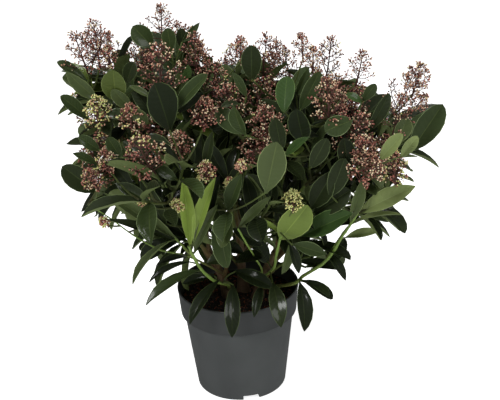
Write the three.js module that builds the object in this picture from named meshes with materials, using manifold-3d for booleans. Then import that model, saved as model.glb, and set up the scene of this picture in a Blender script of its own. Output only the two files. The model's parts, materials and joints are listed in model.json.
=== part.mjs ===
// A skimmia, an evergreen shrub with upright heads of flower buds, in its grey nursery pot.
// Millimetres, +Z up. The origin is the centre of the pot's flat underside, and the front faces -Y.
import * as THREE from "three";
import { mergeVertices } from "three/addons/utils/BufferGeometryUtils.js";
import Module from "manifold-3d";

const wasm = await Module();
wasm.setup();

// The pot is a thin moulded cone with a wider collar below its rim.
const POT_HEIGHT = 172;
const RIM_RADIUS = 95;
const COLLAR_FOOT = 128;
const COLLAR_FOOT_RADIUS = 91;
const NECK_RADIUS = 86;
const BASE_RADIUS = 70;
const EDGE_ROUNDING = 1.5;
const WALL = 2.2;
const FLOOR = 11;
const POT_SIDES = 36;
const NOTCHES = { count: 3, width: 26, height: 8, depth: 18, firstDegrees: -78 };

// The compost fills the pot to a little below the collar's rim.
const SOIL_LEVEL = 152;
const SOIL_DOME = 3;
const GAP = 0.3;

// Three woody stems rise from the compost. Each flares at its foot and ends where it forks.
const STEMS = {
  left: { foot: [-15, -2], tip: [-50, -8, 248] },
  middle: { foot: [8, 14], tip: [4, 36, 262] },
  right: { foot: [30, -8], tip: [68, -14, 244] },
};
const STEM_RADIUS = 7.2;
const STEM_TIP_RADIUS = 5;
const STEM_FLARE = 5;
const STEM_SIDES = 8;
const STEM_STEPS = 6;
const LOWEST_FORK = 0.31;
const HIGHEST_FORK = 0.94;

// A bough runs from its stem to the foot of its mass of leaves.
const BOUGH_RADIUS = 3.4;
const BOUGH_TIP_RADIUS = 2.4;
const BOUGH_SIDES = 5;
const BOUGH_STEPS = 4;

// Twigs are three-sided. A mass has a leader and side shoots, and every shoot ends in a ring of leaves.
const TWIG_RADIUS = 2.3;
const TWIG_TIP_RADIUS = 1.5;
const TWIG_SIDES = 3;
const SIDE_SHOOT = { tilt: 42, length: 0.86, firstFork: 0.06, lastFork: 0.45 };
const SHOOT_TRIALS = [
  { aside: 0, share: 1 },
  { aside: 50, share: 1 },
  { aside: -50, share: 1 },
  { aside: 0, share: 0.75 },
  { aside: 70, share: 0.75 },
  { aside: -70, share: 0.75 },
];
const GOLDEN_ANGLE = 137.5;

// Leaves are long ovals, widest past the middle, with a raised midrib below. They turn up towards the light.
const LEAF_LENGTH = 98;
const LEAF_WIDTH = 0.37;
const LEAF_RISE = 0.45;
const LEAF_BEND = { least: 8, spread: 28 };
const LEAF_KEEL = 2.4;
const LEAF_FOLD = 1.6;
const LEAF_WIDTHS = [0.9, 1.04];
const LEAVES_PER_SHOOT = 8;
const LEAF_TRIALS = [1, 0.82, 0.66];

// A flower head is a lumpy cone of buds on a short stalk. Each tier is a ring of lobes and hollows.
const HEAD_LENGTH = 80;
const SIDE_HEAD = 0.85;
const HEAD_SIDES = 6;
const HEAD_TIERS = [
  { height: 0.04, lobe: 1.7, hollow: 1.5 },
  { height: 0.24, lobe: 3, hollow: 2 },
  { height: 0.5, lobe: 28, hollow: 11 },
  { height: 0.8, lobe: 21, hollow: 9 },
];

// Leaves of neighbouring masses interlock this far without touching, and keep clear of limbs and pot.
const INTERLOCK = 30;
const LIMB_CLEARANCE = 4;
const POT_CLEARANCE = 3;
const CRUMB = 0.05;
const CRUMB_VOLUME = 0.05;

// The skirt that hangs over the rim has few leaves to a shoot, and they don't turn up.
const SKIRT = { leaves: 4, rise: 0 };

// The plan of the crown: where each mass of leaves reaches, how long and how slanted its leader is,
// how many shoots it has and how many of them flower.
const MASSES = [
  { name: "crest_far_left", stem: "left", tip: [-200, -15, 603], leader: 190, lean: 0.5, turn: 260, shoots: 4, heads: 2 },
  { name: "crest_left", stem: "left", tip: [-91, 5, 622], leader: 205, lean: 0.2, turn: 40, shoots: 4, heads: 3 },
  { name: "crest_middle", stem: "middle", tip: [59, 16, 574], leader: 190, lean: 0.1, turn: 250, shoots: 4, heads: 3 },
  { name: "crest_right", stem: "right", tip: [155, 22, 565], leader: 190, lean: 0.2, turn: 90, shoots: 4, heads: 3 },
  { name: "crest_far_right", stem: "right", tip: [277, -14, 518], leader: 190, lean: 0.55, turn: 290, shoots: 3, heads: 3 },
  { name: "upper_front_left", stem: "left", tip: [-97, -76, 594], leader: 185, lean: 0.35, turn: 40, shoots: 4, heads: 2 },
  { name: "upper_front_middle", stem: "middle", tip: [0, -102, 542], leader: 180, lean: 0.3, turn: 170, shoots: 4, heads: 3 },
  { name: "upper_front_right", stem: "right", tip: [128, -99, 544], leader: 180, lean: 0.4, turn: 160, shoots: 4, heads: 3 },
  { name: "side_left", stem: "left", tip: [-233, 2, 496], leader: 165, lean: 1.1, turn: 220, shoots: 4, heads: 2 },
  { name: "side_right", stem: "right", tip: [240, -55, 421], leader: 150, lean: 0.9, turn: 30, shoots: 4, heads: 2 },
  { name: "front_left", stem: "left", tip: [-126, -205, 508], leader: 165, lean: 0.6, turn: 340, shoots: 4, heads: 2 },
  { name: "front_middle", stem: "middle", tip: [-8, -175, 471], leader: 160, lean: 0.7, turn: 130, shoots: 4, heads: 3 },
  { name: "front_right", stem: "right", tip: [193, -125, 495], leader: 165, lean: 0.8, turn: 190, shoots: 4, heads: 4 },
  { name: "low_left", stem: "left", tip: [-220, -75, 433], leader: 135, lean: 1.6, turn: 210, shoots: 3, heads: 1 },
  { name: "low_front", stem: "right", tip: [75, -165, 419], leader: 140, lean: 0.9, turn: 240, shoots: 4, heads: 1 },
  { name: "low_right", stem: "right", tip: [157, -52, 347], leader: 125, lean: 1.7, turn: 250, shoots: 3, heads: 0 },
  { name: "back_left", stem: "left", tip: [-139, 139, 556], leader: 170, lean: 0.5, turn: 210, shoots: 4, heads: 3 },
  { name: "back_middle", stem: "middle", tip: [13, 170, 514], leader: 170, lean: 0.6, turn: 230, shoots: 4, heads: 4 },
  { name: "back_right", stem: "middle", tip: [140, 186, 459], leader: 170, lean: 0.3, turn: 150, shoots: 4, heads: 4 },
  { name: "low_back_left", stem: "middle", tip: [-106, 137, 311], leader: 135, lean: 1.5, turn: 210, shoots: 4, heads: 0 },
  { name: "low_back_right", stem: "middle", tip: [126, 202, 329], leader: 135, lean: 1.2, turn: 310, shoots: 4, heads: 0 },
  { name: "skirt_left", stem: "left", tip: [-111, -76, 298], leader: 90, lean: 2.5, turn: 80, shoots: 3, heads: 0, ...SKIRT },
  { name: "skirt_front", stem: "left", tip: [-29, -123, 294], leader: 88, lean: 2.5, turn: 40, shoots: 3, heads: 0, ...SKIRT },
  { name: "skirt_right", stem: "right", tip: [153, -69, 258], leader: 88, lean: 2.4, turn: 330, shoots: 3, heads: 0, ...SKIRT },
];

const UP = new THREE.Vector3(0, 0, 1);
const EAST = new THREE.Vector3(1, 0, 0);
const radians = THREE.MathUtils.degToRad;
const lerp = THREE.MathUtils.lerp;
const along = (from, direction, distance) => from.clone().addScaledVector(direction, distance);

// A number between 0 and 1 for each call, the same row for the same seed.
function seeded(seed) {
  let state = (seed * 7919) >>> 0;
  const next = () => {
    state = (Math.imul(state, 1664525) + 1013904223) >>> 0;
    return state / 4294967296;
  };
  next();
  next();
  return next;
}

// The unit vector square to an axis at a given turn round it.
function around(axis, angle) {
  const reference = Math.abs(axis.z) < 0.9 ? UP : EAST;
  const first = reference.clone().cross(axis).normalize();
  const second = axis.clone().cross(first);
  return first.multiplyScalar(Math.cos(angle)).addScaledVector(second, Math.sin(angle));
}

// Turns a closed geometry into a solid.
function solidOf(geometry) {
  geometry.deleteAttribute("normal");
  geometry.deleteAttribute("uv");
  const merged = mergeVertices(geometry, 1e-4);
  return new wasm.Manifold(
    new wasm.Mesh({
      numProp: 3,
      vertProperties: merged.attributes.position.array,
      triVerts: new Uint32Array(merged.index.array),
    }),
  );
}

// Joins a row of rings into one solid. All have the same number of points, but an end may be one point.
function loft(rings) {
  const positions = rings.flat().flatMap((point) => point.toArray());
  const triangles = [];
  const sides = rings[1].length;
  const last = rings.length - 1;
  let low = 0;
  for (let k = 0; k < last; k++) {
    const high = low + rings[k].length;
    for (let i = 0; i < sides; i++) {
      const next = (i + 1) % sides;
      if (rings[k].length === 1) triangles.push(low, high + next, high + i);
      else if (rings[k + 1].length === 1) triangles.push(low + i, low + next, high);
      else triangles.push(low + i, low + next, high + next, low + i, high + next, high + i);
    }
    low = high;
  }
  for (let i = 1; i < sides - 1; i++) {
    if (rings[0].length > 1) triangles.push(0, i + 1, i);
    if (rings[last].length > 1) triangles.push(low, low + i, low + i + 1);
  }
  const geometry = new THREE.BufferGeometry();
  geometry.setAttribute("position", new THREE.BufferAttribute(new Float32Array(positions), 3));
  geometry.setIndex(triangles);
  return solidOf(geometry);
}

// A ring of evenly spaced points square to an axis, from a given side of it onwards.
function polygon(centre, axis, radius, sides, first = around(axis, 0)) {
  const second = axis.clone().cross(first);
  return Array.from({ length: sides }, (_, i) => {
    const angle = (2 * Math.PI * i) / sides;
    return along(along(centre, first, radius * Math.cos(angle)), second, radius * Math.sin(angle));
  });
}

// The rings of a tapering limb along a row of points, each turned as the one before, so that it isn't twisted.
// With extra it is grown by that much all over.
function limbRings({ points, radii }, sides, extra = 0) {
  const last = points.length - 1;
  let first = null;
  return points.map((point, k) => {
    const axis = points[Math.min(k + 1, last)].clone().sub(points[Math.max(k - 1, 0)]).normalize();
    first = first ? first.clone().addScaledVector(axis, -first.dot(axis)).normalize() : around(axis, 0);
    const longer = k === 0 ? -extra : k === last ? extra : 0;
    return polygon(along(point, axis, longer), axis, radii[k] + extra / Math.cos(Math.PI / sides), sides, first);
  });
}

// A solid less what is claimed already.
function cutClear(solid, claimed) {
  return claimed.reduce((rest, other) => rest.subtract(other.solid), solid);
}

// The largest body of a solid: a loose scrap is dropped and a sealed hollow is filled.
function wholeBody(solid) {
  const bodies = solid.asOriginal().simplify(CRUMB).decompose();
  return bodies.reduce((best, body) => (body.volume() > best.volume() ? body : best));
}

// ---- Pot and compost ----

// The pot's wall seen in section, from the middle of the underside up to the rim and back down inside.
function potProfile() {
  return [
    [0, 0],
    [BASE_RADIUS - EDGE_ROUNDING, 0],
    [BASE_RADIUS, EDGE_ROUNDING],
    [NECK_RADIUS, COLLAR_FOOT],
    [COLLAR_FOOT_RADIUS, COLLAR_FOOT],
    [RIM_RADIUS, POT_HEIGHT - EDGE_ROUNDING],
    [RIM_RADIUS - EDGE_ROUNDING / 2, POT_HEIGHT],
    [RIM_RADIUS - WALL, POT_HEIGHT],
    [COLLAR_FOOT_RADIUS - WALL, COLLAR_FOOT + WALL],
    [NECK_RADIUS - WALL, COLLAR_FOOT + WALL],
    [BASE_RADIUS - WALL, FLOOR],
    [0, FLOOR],
  ];
}

// Turns a profile of [radius, height] pairs round the upright axis.
function turned(profile) {
  const points = profile.map(([radius, height]) => new THREE.Vector2(radius, height));
  return new THREE.LatheGeometry(points, POT_SIDES).rotateX(Math.PI / 2);
}

// One cut-out in the bottom edge, where water drains away.
function notchSolid(index) {
  const box = new THREE.BoxGeometry(2 * NOTCHES.depth, NOTCHES.width, 2 * NOTCHES.height);
  box.translate(BASE_RADIUS, 0, 0);
  box.rotateZ(radians(NOTCHES.firstDegrees + (360 * index) / NOTCHES.count));
  return solidOf(box);
}

function potSolid() {
  const notches = Array.from({ length: NOTCHES.count }, (_, i) => notchSolid(i));
  return solidOf(turned(potProfile())).subtract(wasm.Manifold.union(notches));
}

// The room that leaves keep out of: the pot, what is in it and a little more all round.
function potRoom() {
  const outside = RIM_RADIUS + POT_CLEARANCE;
  const inside = RIM_RADIUS - WALL - 2 * POT_CLEARANCE;
  const top = POT_HEIGHT + POT_CLEARANCE;
  const soil = SOIL_LEVEL + POT_CLEARANCE;
  return solidOf(turned([[0, 0], [outside, 0], [outside, top], [inside, top], [inside, soil], [0, soil]]));
}

// The compost stands clear of the wall all round and is level where the stems come out of it.
function compostSolid() {
  const wallSlope = (RIM_RADIUS - COLLAR_FOOT_RADIUS) / (POT_HEIGHT - COLLAR_FOOT);
  const edge = SOIL_LEVEL - SOIL_DOME;
  const ledge = COLLAR_FOOT + WALL + GAP;
  const profile = [
    [0, FLOOR + GAP],
    [BASE_RADIUS - WALL - 2 * GAP, FLOOR + GAP],
    [NECK_RADIUS - WALL - 2 * GAP, ledge],
    [COLLAR_FOOT_RADIUS - WALL - 2 * GAP, ledge],
    [COLLAR_FOOT_RADIUS - WALL - 2 * GAP + wallSlope * (edge - ledge), edge],
    [RIM_RADIUS / 2, SOIL_LEVEL],
    [0, SOIL_LEVEL],
  ];
  return solidOf(turned(profile));
}

// ---- Stems and boughs ----

// A stem leans from its foot to its fork, thick at the foot and thinner up to its tip.
function growStem({ foot, tip }) {
  const start = new THREE.Vector3(...foot, SOIL_LEVEL - STEM_FLARE);
  const end = new THREE.Vector3(...tip);
  const shoulder = new THREE.Vector3(lerp(start.x, end.x, 0.3), lerp(start.y, end.y, 0.3), lerp(start.z, end.z, 0.55));
  const curve = new THREE.QuadraticBezierCurve3(start, shoulder, end);
  const points = curve.getPoints(STEM_STEPS);
  const radii = points.map((_, k) => {
    const flare = STEM_FLARE * Math.max(0, 1 - (2.5 * k) / STEM_STEPS) ** 2;
    return lerp(STEM_RADIUS, STEM_TIP_RADIUS, k / STEM_STEPS) + flare;
  });
  return { points, radii, curve };
}

// Where a mass grows: the foot of its leader, the leader's direction and the line it grows round.
function planMass(mass, index) {
  const tip = new THREE.Vector3(...mass.tip);
  const outward = new THREE.Vector3(tip.x, tip.y, 0).normalize();
  const axis = outward.clone().multiplyScalar(mass.lean).add(UP).normalize();
  const foot = along(tip, axis, -mass.leader);
  const line = new THREE.Line3(foot, tip);
  return { leaves: LEAVES_PER_SHOOT, rise: LEAF_RISE, ...mass, axis, foot, line, seed: index + 1 };
}

// A bough leaves its stem outwards and bends up into the direction of its mass.
function growBough(plan, stem, share) {
  const start = stem.curve.getPoint(lerp(LOWEST_FORK, HIGHEST_FORK, share));
  const span = start.distanceTo(plan.foot);
  const outward = plan.foot.clone().sub(start).setZ(0).normalize();
  const leaving = outward.multiplyScalar(0.8).add(UP).normalize();
  const curve = new THREE.CubicBezierCurve3(
    start,
    along(start, leaving, 0.3 * span),
    along(plan.foot, plan.axis, -0.3 * span),
    plan.foot,
  );
  const points = curve.getPoints(BOUGH_STEPS);
  const radii = points.map((_, k) => lerp(BOUGH_RADIUS, BOUGH_TIP_RADIUS, k / BOUGH_STEPS));
  return { points, radii };
}

// ---- Masses of leaves ----

// The midrib of a leaf in even steps: its middle and its upper side, bending down towards the tip.
function midrib(leaf, steps) {
  const stations = [];
  let centre = leaf.root;
  for (let k = 0; k <= steps; k++) {
    const angle = (leaf.bend * k) / steps;
    const middle = (leaf.bend * (k + 0.5)) / steps;
    const up = leaf.normal.clone().multiplyScalar(Math.cos(angle)).addScaledVector(leaf.direction, Math.sin(angle));
    stations.push({ centre, up });
    const forward = leaf.direction.clone().multiplyScalar(Math.cos(middle));
    forward.addScaledVector(leaf.normal, -Math.sin(middle));
    centre = along(centre, forward, leaf.length / steps);
  }
  return stations;
}

// The rings of a leaf: its foot inside the twig, two wide three-cornered rings and its tip.
function leafRings(leaf) {
  const side = leaf.direction.clone().cross(leaf.normal);
  const stations = midrib(leaf, LEAF_WIDTHS.length + 1);
  return stations.map(({ centre, up }, k) => {
    if (k === 0) return [along(centre, leaf.direction, -TWIG_TIP_RADIUS / 2)];
    if (k === stations.length - 1) return [centre];
    const half = (LEAF_WIDTHS[k - 1] * leaf.width) / 2;
    const lifted = along(centre, up, LEAF_FOLD);
    return [along(lifted, side, half), along(centre, up, LEAF_FOLD - LEAF_KEEL), along(lifted, side, -half)];
  });
}

// The leaves of one shoot: a loose spiral that closes up into a ring below its end.
function growLeaves(shoot, plan, random) {
  const leaves = [];
  for (let j = 0; j < plan.leaves; j++) {
    const height = j / (plan.leaves - 1);
    const turn = shoot.turn + radians(j * GOLDEN_ANGLE + 30 * random());
    const tilt = radians(lerp(80, 42, height) + 12 * (random() - 0.5));
    const length = LEAF_LENGTH * lerp(1.02, 0.8, height) * (0.9 + 0.2 * random());
    const bend = radians(LEAF_BEND.least + LEAF_BEND.spread * random());
    const direction = shoot.axis.clone().multiplyScalar(Math.cos(tilt));
    direction.addScaledVector(around(shoot.axis, turn), Math.sin(tilt)).addScaledVector(UP, plan.rise).normalize();
    const normal = shoot.axis.clone().add(UP);
    normal.addScaledVector(direction, -normal.dot(direction)).normalize();
    const root = shoot.middle.clone().lerp(shoot.end, lerp(0.05, 0.97, height));
    leaves.push({ root, direction, normal, length, width: length * LEAF_WIDTH, bend });
  }
  return leaves;
}

// One side shoot of a mass, forking off its leader and bending upwards.
function sideShoot(leader, plan, k, turn, share) {
  const fork = lerp(SIDE_SHOOT.firstFork, SIDE_SHOOT.lastFork, (k - 1) / (plan.shoots - 1));
  const tilt = radians(SIDE_SHOOT.tilt);
  const length = SIDE_SHOOT.length * share * leader.start.distanceTo(leader.end);
  const leaving = plan.axis.clone().multiplyScalar(Math.cos(tilt));
  leaving.addScaledVector(around(plan.axis, turn), Math.sin(tilt));
  const axis = leaving.clone().addScaledVector(plan.axis, 0.5).normalize();
  const start = leader.start.clone().lerp(leader.end, fork);
  const middle = along(start, leaving, length / 2);
  return { start, middle, end: along(middle, axis, length / 2), axis };
}

// The shoots of one mass: its leader, then side shoots that turn aside or stay shorter until they fit.
function growShoots(plan, plans, limbs) {
  const fits = ({ middle, end }) =>
    [middle, end].every((point) => inOwnSpace(point, plan, plans, -TWIG_RADIUS) && clearOfLimbs(point, limbs));
  const leafy = plan.leader - (plan.heads ? HEAD_LENGTH : 0.5 * LEAF_LENGTH);
  const top = along(plan.foot, plan.axis, leafy);
  const leader = { start: plan.foot, middle: plan.foot.clone().lerp(top, 0.5), end: top, axis: plan.axis };
  const shoots = [leader];
  for (let k = 1; k < plan.shoots; k++) {
    const turn = radians(plan.turn + k * GOLDEN_ANGLE);
    const trials = SHOOT_TRIALS.map(({ aside, share }) => sideShoot(leader, plan, k, turn + radians(aside), share));
    const shoot = trials.find(fits);
    if (shoot) shoots.push(shoot);
  }
  return shoots.map((shoot, k) => {
    const random = seeded(plan.seed * 31 + k);
    const turn = 2 * Math.PI * random();
    const head = k < plan.heads ? HEAD_LENGTH * (k ? SIDE_HEAD : 1) : 0;
    return { ...shoot, turn, head, leaves: growLeaves({ ...shoot, turn }, plan, random) };
  });
}

// The rings of a twig, all square to one axis so that its three faces stay flat.
function twigRings({ start, middle, end, axis }) {
  const radii = [TWIG_RADIUS, (TWIG_RADIUS + TWIG_TIP_RADIUS) / 2, TWIG_TIP_RADIUS];
  return [start, middle, end].map((centre, k) => polygon(centre, axis, radii[k], TWIG_SIDES));
}

// The rings of a flower head, from the end of its shoot up to its tip, with the lobes of each tier
// over the hollows of the one below.
function headRings({ end, axis, turn, head }) {
  const ring = (tier, k) =>
    Array.from({ length: HEAD_SIDES }, (_, i) => {
      const reach = (i + k) % 2 ? tier.hollow : tier.lobe;
      const size = (reach * head) / HEAD_LENGTH;
      const angle = turn + (2 * Math.PI * i) / HEAD_SIDES;
      return along(along(end, axis, tier.height * head), around(axis, angle), size);
    });
  return [[along(end, axis, -0.1 * head)], ...HEAD_TIERS.map(ring), [along(end, axis, head)]];
}

// Whether a point is nearer to a mass's own leader than to any other's, or not much further off.
function inOwnSpace(point, plan, plans, tolerance) {
  const nearest = new THREE.Vector3();
  const distance = ({ line }) => line.closestPointToPoint(point, true, nearest).distanceTo(point);
  const own = distance(plan) - tolerance;
  return plans.every((other) => other === plan || distance(other) > own);
}

// Whether a point keeps clear of every stem and bough.
function clearOfLimbs(point, limbs) {
  const piece = new THREE.Line3();
  const nearest = new THREE.Vector3();
  return limbs.every(({ points, radii }) =>
    points.slice(1).every((end, k) => {
      const distance = piece.set(points[k], end).closestPointToPoint(point, true, nearest).distanceTo(point);
      return distance > radii[k] + LIMB_CLEARANCE;
    }),
  );
}

// A solid together with the box round it, which tells quickly what it is nowhere near.
function boxed(solid) {
  const { min, max } = solid.boundingBox();
  return { solid, box: new THREE.Box3(new THREE.Vector3(...min), new THREE.Vector3(...max)) };
}

// Whether a piece shares more than the allowed volume with any other piece.
function crosses(piece, others, allowed) {
  return others.some((other) => {
    if (!other.box.intersectsBox(piece.box)) return false;
    const common = piece.solid.intersect(other.solid);
    const volume = common.volume();
    common.delete();
    return volume > allowed;
  });
}

// Adds a leaf or a head to the shoot that carries it, unless it would cross anything else.
function tryBlade(crop, carrier, rings, crops, claimed) {
  const piece = boxed(loft(rings));
  const foreign = crops.filter((other) => other !== crop).flatMap(({ twigs, blades }) => [...twigs, ...blades]);
  const own = [...crop.blades, ...crop.twigs.filter((twig) => twig !== carrier.twig)];
  if (crosses(piece, [...claimed, ...foreign], 0) || crosses(piece, own, CRUMB_VOLUME)) return false;
  crop.blades.push(piece);
  return true;
}

// Grows all masses side by side: their twigs, then their flower heads, then leaf after leaf on every shoot.
// A leaf that doesn't fit is tried again shorter.
function growCrops(plans, limbs, claimed) {
  const crops = plans.map((plan) => {
    const shoots = growShoots(plan, plans, limbs).map((shoot) => ({ ...shoot, twig: boxed(loft(twigRings(shoot))) }));
    return { plan, shoots, twigs: shoots.map(({ twig }) => twig), blades: [] };
  });
  for (const crop of crops)
    for (const shoot of crop.shoots) if (shoot.head) tryBlade(crop, shoot, headRings(shoot), crops, claimed);
  for (let j = LEAVES_PER_SHOOT - 1; j >= 0; j--)
    for (const crop of crops)
      for (const shoot of crop.shoots)
        LEAF_TRIALS.some((share) => {
          const leaf = shoot.leaves[j];
          if (!leaf) return true;
          const rings = leafRings({ ...leaf, length: leaf.length * share, width: leaf.width * share });
          const inside = rings.flat().every((point) => inOwnSpace(point, crop.plan, plans, INTERLOCK));
          return inside && tryBlade(crop, shoot, rings, crops, claimed);
        });
  return crops;
}

// One mass as a single solid. Its leader is cut clear of the tip of its bough.
function massSolid({ twigs, blades }, claimed) {
  const joined = wasm.Manifold.union([...twigs, ...blades].map(({ solid }) => solid));
  return wholeBody(cutClear(joined, claimed));
}

// ---- Assembly ----

const POT_GREY = { color: 0x4c4f4f, roughness: 0.5, metalness: 0 };
const COMPOST_BROWN = { color: 0x2a1e18, roughness: 0.95, metalness: 0 };
const STEM_BROWN = { color: 0x5a4632, roughness: 0.85, metalness: 0 };
const BOUGH_GREEN = { color: 0x66692f, roughness: 0.7, metalness: 0 };
const LEAF_GREEN = { color: 0x33451f, roughness: 0.4, metalness: 0 };

// Wraps a finished solid as a named mesh.
function meshOf(name, solid, look) {
  const { vertProperties, triVerts } = solid.getMesh();
  const geometry = new THREE.BufferGeometry();
  geometry.setAttribute("position", new THREE.BufferAttribute(new Float32Array(vertProperties), 3));
  geometry.setIndex(new THREE.BufferAttribute(new Uint32Array(triVerts), 1));
  geometry.computeVertexNormals();
  const mesh = new THREE.Mesh(geometry, new THREE.MeshStandardMaterial(look));
  mesh.name = name;
  return mesh;
}

const skimmia = new THREE.Group();
skimmia.add(meshOf("pot", potSolid(), POT_GREY));
skimmia.add(meshOf("compost", compostSolid(), COMPOST_BROWN));

// What is taken already, grown by the gap that the next piece leaves round it.
const claimed = [];
const limbs = [];
const stems = {};
for (const [name, plan] of Object.entries(STEMS)) {
  const stem = growStem(plan);
  const aboveSoil = loft(limbRings(stem, STEM_SIDES)).trimByPlane([0, 0, 1], SOIL_LEVEL + GAP);
  stems[name] = stem;
  limbs.push(stem);
  claimed.push(boxed(loft(limbRings(stem, STEM_SIDES, GAP))));
  skimmia.add(meshOf("stem_" + name, aboveSoil, STEM_BROWN));
}

// The boughs leave each stem in the order of their height, each cut clear of what was there before it.
const plans = MASSES.map(planMass);
for (const [name, stem] of Object.entries(stems)) {
  const family = plans.filter((plan) => plan.stem === name).sort((a, b) => a.foot.z - b.foot.z);
  family.forEach((plan, k) => {
    const bough = growBough(plan, stem, k / (family.length - 1));
    const cut = cutClear(loft(limbRings(bough, BOUGH_SIDES)), claimed);
    limbs.push(bough);
    claimed.push(boxed(loft(limbRings(bough, BOUGH_SIDES, GAP))));
    skimmia.add(meshOf("bough_" + plan.name, wholeBody(cut), BOUGH_GREEN));
  });
}

claimed.push(boxed(potRoom()));
for (const crop of growCrops(plans, limbs, claimed))
  skimmia.add(meshOf("leaves_" + crop.plan.name, massSolid(crop, claimed), LEAF_GREEN));

export default skimmia;
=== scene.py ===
"""A skimmia with its heads of flower buds, in its grey nursery pot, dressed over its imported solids."""
import json
import math
from functools import partial

import bmesh
import bpy
import numpy as np
from mathutils import Euler, Matrix, Vector, noise
from mathutils.bvhtree import BVHTree

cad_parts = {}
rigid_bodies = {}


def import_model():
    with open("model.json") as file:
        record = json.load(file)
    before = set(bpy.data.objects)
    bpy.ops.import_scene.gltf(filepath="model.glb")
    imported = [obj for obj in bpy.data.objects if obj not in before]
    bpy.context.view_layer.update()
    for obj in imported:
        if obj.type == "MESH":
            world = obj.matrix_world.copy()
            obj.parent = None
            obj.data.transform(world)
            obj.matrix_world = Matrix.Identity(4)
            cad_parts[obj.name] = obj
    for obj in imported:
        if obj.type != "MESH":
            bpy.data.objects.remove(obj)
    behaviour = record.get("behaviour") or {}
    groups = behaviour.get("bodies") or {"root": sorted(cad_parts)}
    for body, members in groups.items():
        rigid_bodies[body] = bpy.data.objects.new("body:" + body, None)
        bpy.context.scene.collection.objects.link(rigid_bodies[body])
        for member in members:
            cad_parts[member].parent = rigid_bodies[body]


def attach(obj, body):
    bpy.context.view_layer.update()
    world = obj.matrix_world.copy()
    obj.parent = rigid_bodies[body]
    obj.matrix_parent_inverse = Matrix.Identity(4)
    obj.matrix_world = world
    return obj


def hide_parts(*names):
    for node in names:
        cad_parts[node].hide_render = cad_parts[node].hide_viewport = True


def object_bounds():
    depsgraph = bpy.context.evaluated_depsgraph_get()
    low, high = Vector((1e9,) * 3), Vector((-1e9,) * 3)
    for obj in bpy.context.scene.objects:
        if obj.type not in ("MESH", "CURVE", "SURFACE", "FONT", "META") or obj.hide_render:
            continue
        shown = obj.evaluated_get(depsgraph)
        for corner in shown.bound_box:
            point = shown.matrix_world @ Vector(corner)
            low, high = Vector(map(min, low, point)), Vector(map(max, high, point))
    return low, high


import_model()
cad_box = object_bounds()


# ---- Pot ----
# A thin-walled nursery pot, injection moulded in charcoal polypropylene. The cone steps out to a collar
# that gives the fingers a grip, the rim is rolled, and notches in the foot let water out.
MM = 0.001
POT_HEIGHT = 172
RIM_RADIUS = 95
COLLAR_FOOT = 128
COLLAR_FOOT_RADIUS = 91
NECK_RADIUS = 86
BASE_RADIUS = 70
WALL = 2.2
FLOOR = 11
POT_SIDES = 128
NOTCH_COUNT = 3
NOTCH_SIZE = (36, 26, 16)
NOTCH_FIRST_DEGREES = -78
POT_GREY = "#3e4141"
POT_GREY_WORN = "#464949"
# How far the collar's colour is darkened, as painted shade from the crown above.
COLLAR_PAINTED_SHADE = 0.62


def linear(hex_colour):
    """An sRGB hex colour as linear red, green, blue and alpha."""
    shares = [int(hex_colour[i:i + 2], 16) / 255 for i in (1, 3, 5)]
    return [c / 12.92 if c <= 0.04045 else ((c + 0.055) / 1.055) ** 2.4 for c in shares] + [1.0]


def add(tree, kind, sockets=None, **settings):
    """Adds a node to a tree. A socket takes a value, or a pair (node, output) to link it to."""
    node = tree.nodes.new(kind)
    for name, value in settings.items():
        setattr(node, name, value)
    for name, value in (sockets or {}).items():
        if isinstance(value, tuple) and isinstance(value[0], bpy.types.Node):
            tree.links.new(value[0].outputs[value[1]], node.inputs[name])
        else:
            node.inputs[name].default_value = value
    return node


def shader(name, **sockets):
    """A material with a Principled shader whose sockets are set, its tree and the shader."""
    material = bpy.data.materials.new(name)
    material.use_nodes = True
    tree = material.node_tree
    surface = next(node for node in tree.nodes if node.type == "BSDF_PRINCIPLED")
    for socket, value in sockets.items():
        surface.inputs[socket.replace("_", " ")].default_value = value
    return material, tree, surface


def grain_noise(tree, place, scale, detail=2.0):
    """Noise on a piece's own coordinates."""
    return add(tree, "ShaderNodeTexNoise", {"Vector": (place, "Object"), "Scale": scale, "Detail": detail})


def add_relief(tree, surface, height, strength, depth_mm):
    """Lets a height stand out of a shader's surface as bump."""
    bump = add(tree, "ShaderNodeBump", {"Height": height, "Strength": strength, "Distance": depth_mm * MM})
    tree.links.new(bump.outputs["Normal"], surface.inputs["Normal"])


def mesh_piece(name, vertices, faces, materials, face_materials=None, smooth=True):
    """A new object from vertices in millimetres, with its materials dealt to its faces."""
    mesh = bpy.data.meshes.new(name)
    mesh.from_pydata(np.asarray(vertices, float) * MM, [], faces)
    for material in materials:
        mesh.materials.append(material)
    if face_materials is not None:
        mesh.polygons.foreach_set("material_index", face_materials)
    mesh.polygons.foreach_set("use_smooth", [smooth] * len(faces))
    mesh.update()
    piece = bpy.data.objects.new(name, mesh)
    bpy.context.scene.collection.objects.link(piece)
    return piece


def apply_modifiers(piece):
    """Turns a piece's evaluated shape into its plain mesh and takes its modifiers off."""
    bpy.context.view_layer.update()
    evaluated = piece.evaluated_get(bpy.context.evaluated_depsgraph_get())
    mesh = bpy.data.meshes.new_from_object(evaluated)
    mesh.name = piece.name
    piece.modifiers.clear()
    piece.data = mesh
    return piece


def finish_piece(piece, slot, *nodes):
    """Rides a piece on the part's one body and hides the solids of the nodes it stands for."""
    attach(piece, "root")
    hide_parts(*nodes)


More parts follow.
